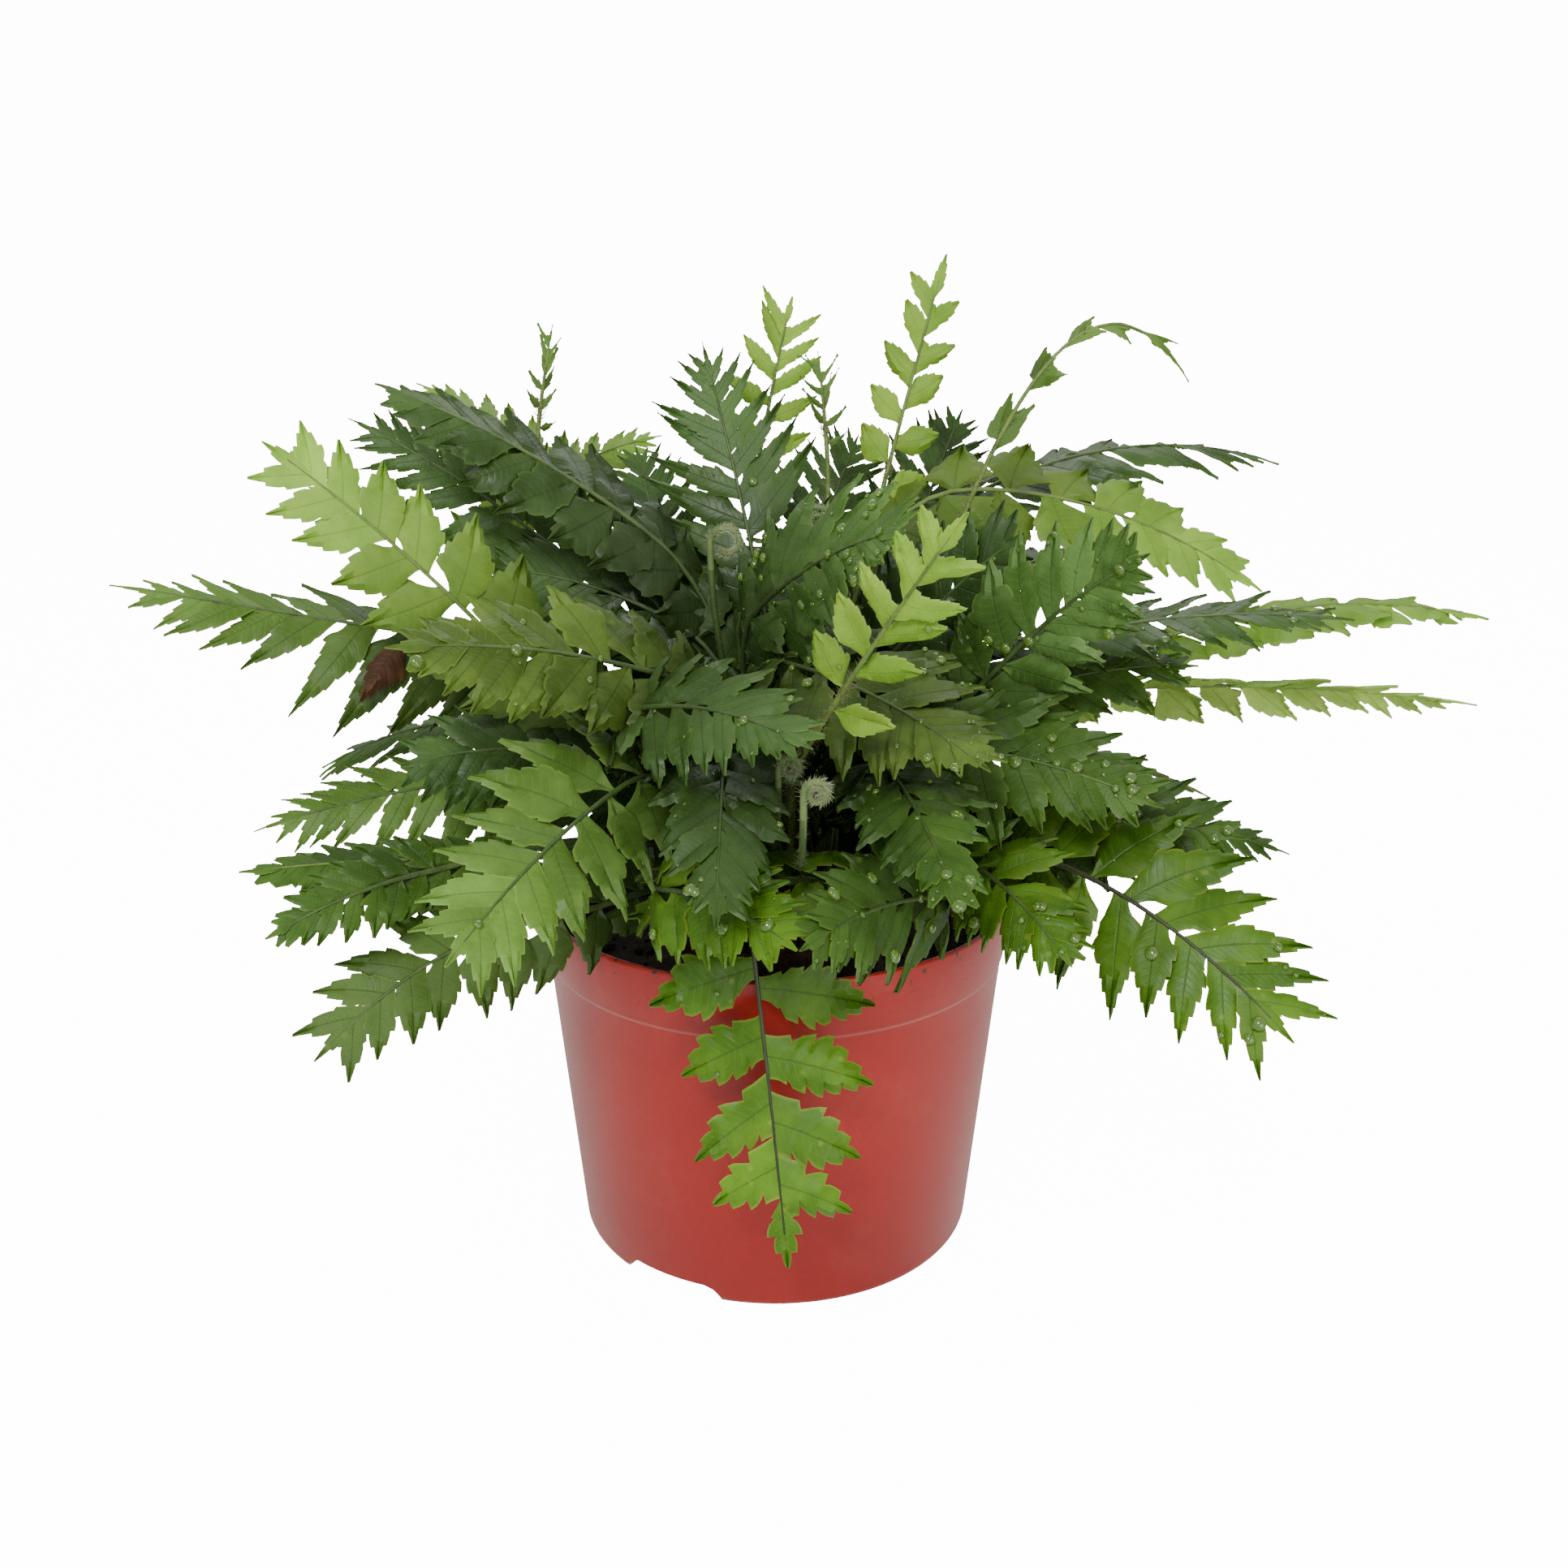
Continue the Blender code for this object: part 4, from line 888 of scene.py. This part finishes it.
def buildFrond(row, slot):
    kind, leaf = row[7:]
    frond = frondCurve(row, slot)
    shape = newLeafShape()
    spots = addLeaflets(shape, frond)
    shape.normal_update()
    draws = random.Random(frond["seed"] + 1)
    addDewSpots(draws, wetFronds.get(frond["name"], 0), spots)
    shape = thickened(shape)
    line = addStalk(shape, frond, 2)
    young, light = kind in ("young", "curly"), leaf in ("light", "young")
    for hairs in youngHairs if young else grownHairs:
        addScales(shape, draws, line, *hairs, 3)
    under = leafMaterials["underLight" if light else "under"]
    stalkKind = oddStalks.get(frond["name"], "pale" if young or light else "green")
    materials = [leafMaterials[leaf], under, stalkMaterials[stalkKind], scaleHairs]
    finishPiece("fine_" + frond["name"], shape, materials, [frond["name"]])


withered = dict(
    start=(-86, -16, 159), end=(-93, -32, 152.5), face=(0.2, -0.7, 0.6), half=4.6, arch=2.0, droop=0.3,
    waves=1.3, phase=0.5, fall=0.25, curl=0.8, level=0.4)
witheredFinish = dict(
    dark=(0.07, 0.03, 0.012), light=(0.22, 0.1, 0.04), margin=(0.14, 0.07, 0.03), rib=(0.06, 0.03, 0.012),
    glow=(0.3, 0.13, 0.04), rough=0.75, lesions=0.0, through=0.15, inner=1.0)


def buildWithered():
    # one dead brown leaflet that hangs crumpled among the green ones
    start, end = np.array(withered["start"], float), np.array(withered["end"], float)
    scrap = dict(kind=kinds["wide"], halfWidth=withered["half"], droop=withered["droop"], seed=4)
    scrap["face"] = unit(np.array(withered["face"]))
    scrap["length"] = np.linalg.norm(end - start)
    blade = [start, (start + end) / 2 + upwards * withered["arch"], end]
    above = start + upwards
    scrap["rail"] = railOf(scrap, above, [above, start], blade)
    shape = newLeafShape()
    leaf = dict(index=1, side=1, place=0.0, span=0.3, angle=0.0, reach=scrap["length"], toneAndShade=1.0)
    addLeaflet(shape, scrap, {**leaf, **withered})
    brown = leafMaterial("leaf_withered", **witheredFinish)
    finishPiece("withered_leaflet", thickened(shape), [brown, brown], [])


crozier = dict(
    width=1.7, endWidth=1.1, tightening=0.42, tightest=0.85, shift=0.05, steps=40, stalkSteps=18, around=9,
    hairLength=1.2, stalkHairs=110, rollHairs=470, hairsFrom=0.1)


def buildCrozier(row, slot):
    name, start, way, radius, turns = row
    start = np.array(start, float)
    root, curve = stalkLine(slot, start, upwards)
    points = [root, *bezier(curve, np.linspace(0.0, 1.0, crozier["stalkSteps"]))]
    stalkPoints = len(points)
    right = np.array((float(way), 0.0, 0.0))
    for step in range(1, crozier["steps"] + 1):
        share = step / crozier["steps"]
        angle = share * turns * 2 * math.pi
        now = radius * (1.0 - min(crozier["tightest"], crozier["tightening"] * turns) * share)
        centre = start + right * radius * (1.0 - crozier["shift"] * share)
        points.append(centre - right * now * math.cos(angle) + upwards * now * math.sin(angle))
    points = np.array(points)
    ways = unit(np.gradient(points, axis=0))
    normals = unit(np.cross((0.0, 1.0, 0.0), ways))
    sides = np.cross(ways, normals)
    share = np.arange(len(points)) / (len(points) - 1)
    radii = (crozier["width"] * (1 - share) + crozier["endWidth"] * share) / 2
    shape = bmesh.new()
    shape.loops.layers.uv.new("leafUV")
    faces = addTube(shape, points, sides, normals, radii, crozier["around"], 0)
    # below the roll it is as green as other stalks
    for face in faces[: crozier["around"] * (stalkPoints - 2)]:
        face.material_index = 3
    draws = random.Random(len(name) * 31)
    line = (points, sides, normals, radii)
    rollFoot = stalkPoints / len(points)
    length = crozier["hairLength"]
    addScales(shape, draws, line, crozier["stalkHairs"], length, crozier["hairsFrom"], rollFoot, 2)
    addScales(shape, draws, line, crozier["rollHairs"], length, rollFoot, 1.0, 1)
    materials = [stalkMaterials["roll"], rollHairs, scaleHairs, stalkMaterials["green"]]
    finishPiece("fine_" + name, shape, materials, [name])


places = stalkPlaces([row[1] for row in fronds + croziers])
for row, slot in zip(fronds, places):
    buildFrond(row, slot)
buildWithered()
print("fronds built:", len(fronds))
for row, slot in zip(croziers, places[len(fronds):]):
    buildCrozier(row, slot)
print("croziers built:", len(croziers))


# Dew

dewLook = {
    "Base Color": (0.3, 0.52, 0.07), "Roughness": 0.04, "IOR": 1.36, "Transmission Weight": 0.75,
    "Coat Weight": 1.0, "Coat Roughness": 0.03,
}


def buildDew():
    material, tree, shader = newMaterial("dew")
    feedAll(shader, dewLook)
    shape = bmesh.new()
    places = []
    for spot, normal, radius in dewSpots:
        size = (radius, radius, radius * dew["flat"])
        places.append(aimed(spot + normal * radius * dew["lift"], normal, size))
    drop = bmesh.ops.create_uvsphere(shape, u_segments=dew["segments"], v_segments=dew["rings"], radius=1.0)
    placeCopies(shape, drop["verts"], places)
    finishPiece("dew_drops", shape, [material], [], sharp=180)


buildDew()
print("dew drops:", len(dewSpots))


# Pot

pot = dict(
    height=91.5, bandZ=76.0, baseR=51.4, footR=50.4, footEdge=2.0, bandR=58.5, rimR=60.3, wall=1.1, lip=1.6,
    floorZ=4.6, segments=144, notchAzimuths=(-121.0, 59.0), notchHalf=11.5, notchSlope=2.5, notchHeight=3.8,
    drainHoles=4, drainRing=34.0, drainR=4.0, drainTurn=0.3, drainSides=28,
)
# colours, noises as scale and detail, how far each shows, and heights and radii in metres
# three of these colours paint light and shade: the dark red low on the pot and the dark brown inside the rim
# are painted shade, and the pale pink at grazing angles is a painted reflection
potLook = dict(
    dark=(0.41, 0.012, 0.005), light=(0.5, 0.021, 0.011), patches=(28.0, 5.0), haze=(0.5, 0.1, 0.07),
    scuffs=(60.0, 8.0), scuffed=(0.52, 0.72), hazeShare=0.2, foot=(0.24, 0.004, 0.002), paintedShadeTop=0.06,
    mouldLine=(0.7, 0.2, 0.15), lineZ=0.0764, lineWidth=(0.0002, 0.0008), lineShare=0.25,
    dirt=(0.05, 0.025, 0.015), dirtFrom=0.077, specks=(420.0, 2.0), speckled=(0.66, 0.7),
    paintedInsideShade=(0.035, 0.014, 0.01), paintedInsideFrom=0.0765, paintedInsideRadii=(0.0576, 0.0592), paintedInsideShare=0.85,
    paintedEdgeSheen=(0.95, 0.5, 0.44), paintedEdgePower=3.5, paintedEdgeShare=0.7, gloss=(0.3, 0.5), coat=0.15,
    grain=(900.0, 2.0), relief=(0.12, 0.0002))


def potMaterial():
    look = potLook
    material, tree, shader = newMaterial("pot_red_plastic")
    place = addPlace(tree)
    height = addNode(tree, "SeparateXYZ", Vector=place).outputs["Z"]
    patches = addNoise(tree, place, *look["patches"], Roughness=0.62)
    body = addMix(tree, patches, look["dark"], look["light"])
    rubbed = addNoise(tree, place, *look["scuffs"], Roughness=0.7, Distortion=0.6)
    body = addLayer(tree, body, look["haze"], addRange(tree, rubbed, *look["scuffed"]), look["hazeShare"])
    # painted shade: the pot is painted darker towards its foot, where shade from the light above falls
    body = addMix(tree, addRange(tree, height, 0.0, look["paintedShadeTop"], 0.5, 0.0), body, look["foot"])
    # a pale mould line where the band begins
    apart = addMath(tree, "ABSOLUTE", addMath(tree, "SUBTRACT", height, look["lineZ"]))
    line = addRange(tree, apart, *look["lineWidth"], look["lineShare"], 0.0)
    body = addMix(tree, line, body, look["mouldLine"])
    # specks of soil on the band, and painted shade on the wall inside the rim
    specks = addRange(tree, addNoise(tree, place, *look["specks"]), *look["speckled"], smooth=False)
    high = addRange(tree, height, look["dirtFrom"], pot["height"] * mm, smooth=False)
    body = addLayer(tree, body, look["dirt"], specks, high)
    far = addDistance(tree, potAxis, (1.0, 1.0, 1e6))
    inside = addRange(tree, far, *look["paintedInsideRadii"], look["paintedInsideShare"], 0.0)
    above = addMath(tree, "GREATER_THAN", height, look["paintedInsideFrom"])
    body = addLayer(tree, body, look["paintedInsideShade"], inside, above)
    # painted reflection: a pale pink sheen painted where the surface turns away from the view, along the
    # pot's edges
    facing = addNode(tree, "LayerWeight", Blend=0.5).outputs["Facing"]
    facing = addMath(tree, "POWER", facing, look["paintedEdgePower"])
    body = addLayer(tree, body, look["paintedEdgeSheen"], facing, look["paintedEdgeShare"])
    feedAll(shader, {
        "Base Color": body, "Coat Weight": look["coat"], "Coat Roughness": 0.3,
        "Roughness": addRange(tree, rubbed, 0.0, 1.0, *look["gloss"], smooth=False),
        "Normal": addBump(tree, addNoise(tree, place, *look["grain"]), look["relief"])})
    return material


def potProfile():
    # underside of the floor, foot ring, outer wall, band, rolled rim, inner wall, floor
    wall, lip, floor, edge = pot["wall"], pot["lip"], pot["floorZ"], pot["footEdge"]
    foot, base, band, bandZ = pot["footR"], pot["baseR"], pot["bandR"], pot["bandZ"]
    points = [(0.0, floor), (foot - lip - 0.6, floor), (foot - lip, floor - 0.6), (foot - lip, 0.25)]
    points += [(foot - lip + 0.25, 0.0), (foot - 0.4, 0.0)]
    for step in range(1, 6):
        angle = math.pi / 2 * step / 5
        points.append((foot - 0.4 + 1.4 * math.sin(angle), edge * (1 - math.cos(angle))))
    for step in range(1, 8):
        share = step / 8
        points.append((base + (band - 0.2 - base) * share, edge + (bandZ - edge) * share))
    points += [(band - 0.2, bandZ - 0.3), (band - 0.1, bandZ + 0.1), (band + 0.22, bandZ + 0.5)]
    rimLow = pot["height"] - lip / 2
    points += [(band + 0.34, bandZ + 0.9), (pot["rimR"] - 0.12, rimLow - 4.0)]
    for step in range(9):
        angle = math.pi * step / 8
        points.append((pot["rimR"] - lip / 2 * (1 - math.cos(angle)), rimLow + lip / 2 * math.sin(angle)))
    points += [(band - wall, bandZ), (base - wall, floor + wall + 0.5), (base - wall - 0.5, floor + wall)]
    return points + [(0.0, floor + wall)]


def spunShape(points, segments):
    shape = bmesh.new()
    corners = [shape.verts.new((radius, 0.0, z)) for radius, z in points]
    edges = [shape.edges.new(pair) for pair in zip(corners, corners[1:])]
    bmesh.ops.spin(
        shape, geom=corners + edges, cent=(0, 0, 0), axis=(0, 0, 1), angle=2 * math.pi, steps=segments,
        use_merge=True)
    bmesh.ops.remove_doubles(shape, verts=shape.verts, dist=1e-4)
    bmesh.ops.recalc_face_normals(shape, faces=shape.faces)
    return shape


def notchRise(azimuth, radius):
    # how far the foot is cut away at an angle round the pot
    rise = 0.0
    for middle in pot["notchAzimuths"]:
        apart = abs((azimuth - middle + 180.0) % 360.0 - 180.0)
        off = radius * math.sin(math.radians(min(apart, 90.0)))
        slope = pot["notchSlope"]
        rise = max(rise, min(1.0, (pot["notchHalf"] + slope - off) / slope) * pot["notchHeight"])
    return max(0.0, rise)


def drained(shape):
    # the pot with its drain holes cut through the floor
    cutters = bmesh.new()
    for hole in range(pot["drainHoles"]):
        turn = 2 * math.pi * (hole + pot["drainTurn"]) / pot["drainHoles"]
        centre = ringPoint(turn, pot["drainRing"], pot["floorZ"] + pot["wall"] / 2)
        bmesh.ops.create_cone(
            cutters, cap_ends=True, segments=pot["drainSides"], radius1=pot["drainR"], radius2=pot["drainR"],
            depth=4.0, matrix=Matrix.Translation(centre))
    whole, holes = newObject("pot", shape), newObject("holes", cutters)
    cut = whole.modifiers.new("holes", "BOOLEAN")
    cut.operation = "DIFFERENCE"
    cut.solver = "EXACT"
    cut.object = holes
    return evaluatedShape(whole, holes)


def buildPot():
    shape = spunShape(potProfile(), pot["segments"])
    for vert in shape.verts:
        radius = math.hypot(vert.co.x, vert.co.y)
        if vert.co.z < pot["notchHeight"] and radius > pot["footR"] - pot["lip"] - 0.3:
            rise = notchRise(math.degrees(math.atan2(vert.co.y, vert.co.x)), radius)
            if vert.co.z < rise:
                vert.co.z = rise + 0.1 * vert.co.z
    finishPiece("pot_shell", drained(shape), [potMaterial()], ["pot"], sharp=40)


buildPot()
print("pot built")


# Soil and crown

soil = dict(
    topR=56.6, topZ=78.0, segments=72, rough=0.9, crumbs=520, crumbRing=(0.23, 0.9), crumbSize=(0.5, 1.7),
    dark=(0.006, 0.004, 0.003), light=(0.03, 0.017, 0.009))


def soilMaterial(name, dark, light):
    material, tree, shader = newMaterial(name)
    bits = addNoise(tree, addPlace(tree), 260.0, 8.0, Roughness=0.7)
    ramp = addNode(tree, "ValToRGB", Fac=bits)
    stops = ramp.color_ramp.elements
    stops.new(0.5)
    pale = tuple(value * 2.4 for value in light)
    for stop, position, colour in zip(stops, (0.3, 0.55, 0.74), (dark, light, pale)):
        stop.position = position
        stop.color = (*colour, 1.0)
    feedAll(shader, {
        "Base Color": ramp.outputs["Color"], "Roughness": 0.9, "Normal": addBump(tree, bits, (0.8, 0.0008))})
    return material


def buildSoil():
    low = pot["floorZ"] + pot["wall"] + 0.4
    top, edge = soil["topZ"], soil["topR"]
    points = [(0.0, low), (pot["baseR"] - pot["wall"] - 0.8, low), (edge - 0.1, pot["bandZ"] - 1.0)]
    points.append((edge, top - 1.2))
    points += [(edge - 4 * step, top - 0.6 + 0.25 * step) for step in range(1, 8)]
    points += [(crown["radius"] - 5.0, top - 3.0), (0.0, top - 4.0)]
    shape = spunShape(points, soil["segments"])
    draws = random.Random(5)
    for vert in shape.verts:
        if vert.co.z > top - 1.0 and math.hypot(vert.co.x, vert.co.y) < edge - 2:
            vert.co.z += draws.uniform(-soil["rough"], soil["rough"])
    places = []
    for crumb in range(soil["crumbs"]):
        turn = draws.uniform(0, 2 * math.pi)
        radius = math.sqrt(draws.uniform(*soil["crumbRing"])) * edge
        size = draws.uniform(*soil["crumbSize"])
        spot = ringPoint(turn, radius, top + draws.uniform(-0.3, 1.0))
        squash = Matrix.Diagonal((size, size * draws.uniform(0.5, 1.0), size * draws.uniform(0.4, 0.9), 1.0))
        roll = Matrix.Rotation(draws.uniform(0, 6.3), 4, (draws.random(), draws.random(), 1.0))
        places.append(Matrix.Translation(spot) @ roll @ squash)
    placeCopies(shape, bmesh.ops.create_icosphere(shape, subdivisions=1, radius=1.0)["verts"], places)
    peat = soilMaterial("peat", soil["dark"], soil["light"])
    finishPiece("soil_peat", shape, [peat], ["soil"], sharp=30)


crownScale = dict(
    count=420, length=5.0, width=1.6, thick=0.35, tip=0.04, dark=(0.02, 0.011, 0.006),
    light=(0.085, 0.045, 0.022))


def buildCrown():
    # the stump of old stalk bases and the papery brown scales that cover it
    radius, ground = crown["radius"], soil["topZ"]
    points = [(0.0, ground - 5.0), (radius - 0.2, ground - 4.0), (radius, ground + 1.0)]
    for share in (0.98, 0.85, 0.7, 0.5, 0.3, 0.12, 0.0):
        points.append((radius * share, crownHeight(radius * share) - crown["cover"]))
    shape = spunShape(points, crown["segments"])
    draws = random.Random(9)
    for vert in shape.verts:
        if vert.co.z > ground + 2.0:
            vert.co.z += draws.uniform(-0.8, 0.3)
    places = []
    for number in range(crownScale["count"]):
        turn = draws.uniform(0, 2 * math.pi)
        flat = math.sqrt(draws.uniform(0.02, 1.0)) * (radius - 0.5)
        foot = ringPoint(turn, flat, crownHeight(flat) - 2 * crown["cover"])
        lean = ringPoint(turn, 1.0, draws.uniform(0.6, 2.6)).normalized()
        size = crownScale["length"] * draws.uniform(0.5, 1.0)
        places.append(aimed(foot + lean * size * 0.4, lean, (crownScale["width"], crownScale["thick"], size)))
    first = bmesh.ops.create_cone(shape, segments=4, radius1=0.5, radius2=crownScale["tip"], depth=1.0)
    placeCopies(shape, first["verts"], places)
    brown = soilMaterial("crown_brown", crownScale["dark"], crownScale["light"])
    finishPiece("crown_scales", shape, [brown], ["crown"], sharp=30)


buildSoil()
buildCrown()
print("soil and crown built")


# Floor, light and camera

studio = dict(skyLight=0.28, skySeen=14.0, skyGloss=0.5, floorGlow=14.0, floorSize=4.0)
# name, place, aim, size and power, in metres and watts
lights = (
    ("key", (-0.3, -0.7, 0.85), (0.0, 0.0, 0.13), 0.35, 5.4),
    ("front", (0.35, -0.9, 0.35), (0.0, 0.0, 0.12), 0.6, 3.8),
    ("spark", (-0.12, -0.75, 0.7), (0.0, 0.0, 0.13), 0.06, 1.3),
    ("back", (0.15, 0.7, 0.9), (0.0, 0.0, 0.15), 0.6, 3.4),
)


def buildFloor():
    shape = bmesh.new()
    bmesh.ops.create_grid(shape, x_segments=1, y_segments=1, size=studio["floorSize"])
    floor = newObject("floor", shape)
    material, tree, shader = newMaterial("floor_white")
    seen = addNode(tree, "LightPath").outputs["Is Camera Ray"]
    feedAll(shader, {
        "Base Color": (0.9, 0.9, 0.9), "Roughness": 0.8, "Emission Color": (1.0, 1.0, 1.0),
        "Emission Strength": addMath(tree, "MULTIPLY", seen, studio["floorGlow"])})
    floor.data.materials.append(material)


def addAreaLight(name, spot, aim, size, power):
    data = bpy.data.lights.new(name, "AREA")
    data.size = size
    data.energy = power
    lamp = showObject(name, data)
    lamp.location = spot
    lamp.rotation_euler = (Vector(aim) - Vector(spot)).to_track_quat("-Z", "Y").to_euler()


def buildWorld():
    # white where the camera looks past the plant, dim as a light, and faint in reflections
    world = bpy.data.worlds.new("studio")
    world.use_nodes = True
    tree = world.node_tree
    path = addNode(tree, "LightPath").outputs
    inView = addMath(tree, "MULTIPLY", path["Is Camera Ray"], studio["skySeen"])
    inGloss = addMath(tree, "MULTIPLY", path["Is Glossy Ray"], studio["skyGloss"])
    strength = addMath(tree, "ADD", addMath(tree, "ADD", inView, inGloss), studio["skyLight"])
    feedAll(tree.nodes["Background"], {"Color": (1.0, 1.0, 1.0), "Strength": strength})
    bpy.context.scene.world = world


view = dict(spot=(2.2, -400.0, 252.0), pitch=18.5, focal=2060.0, frameWidth=1932.0, sensor=36.0)


def buildCamera():
    data = bpy.data.cameras.new("camera")
    data.sensor_width = view["sensor"]
    data.lens = view["sensor"] * view["focal"] / view["frameWidth"]
    data.clip_start = 0.01
    camera = showObject("camera", data)
    camera.location = toFrame @ Vector(view["spot"])
    camera.rotation_euler = (math.radians(90.0 - view["pitch"]), 0.0, 0.0)
    bpy.context.scene.camera = camera


buildFloor()
buildWorld()
for light in lights:
    addAreaLight(*light)
buildCamera()
print("stage ready")
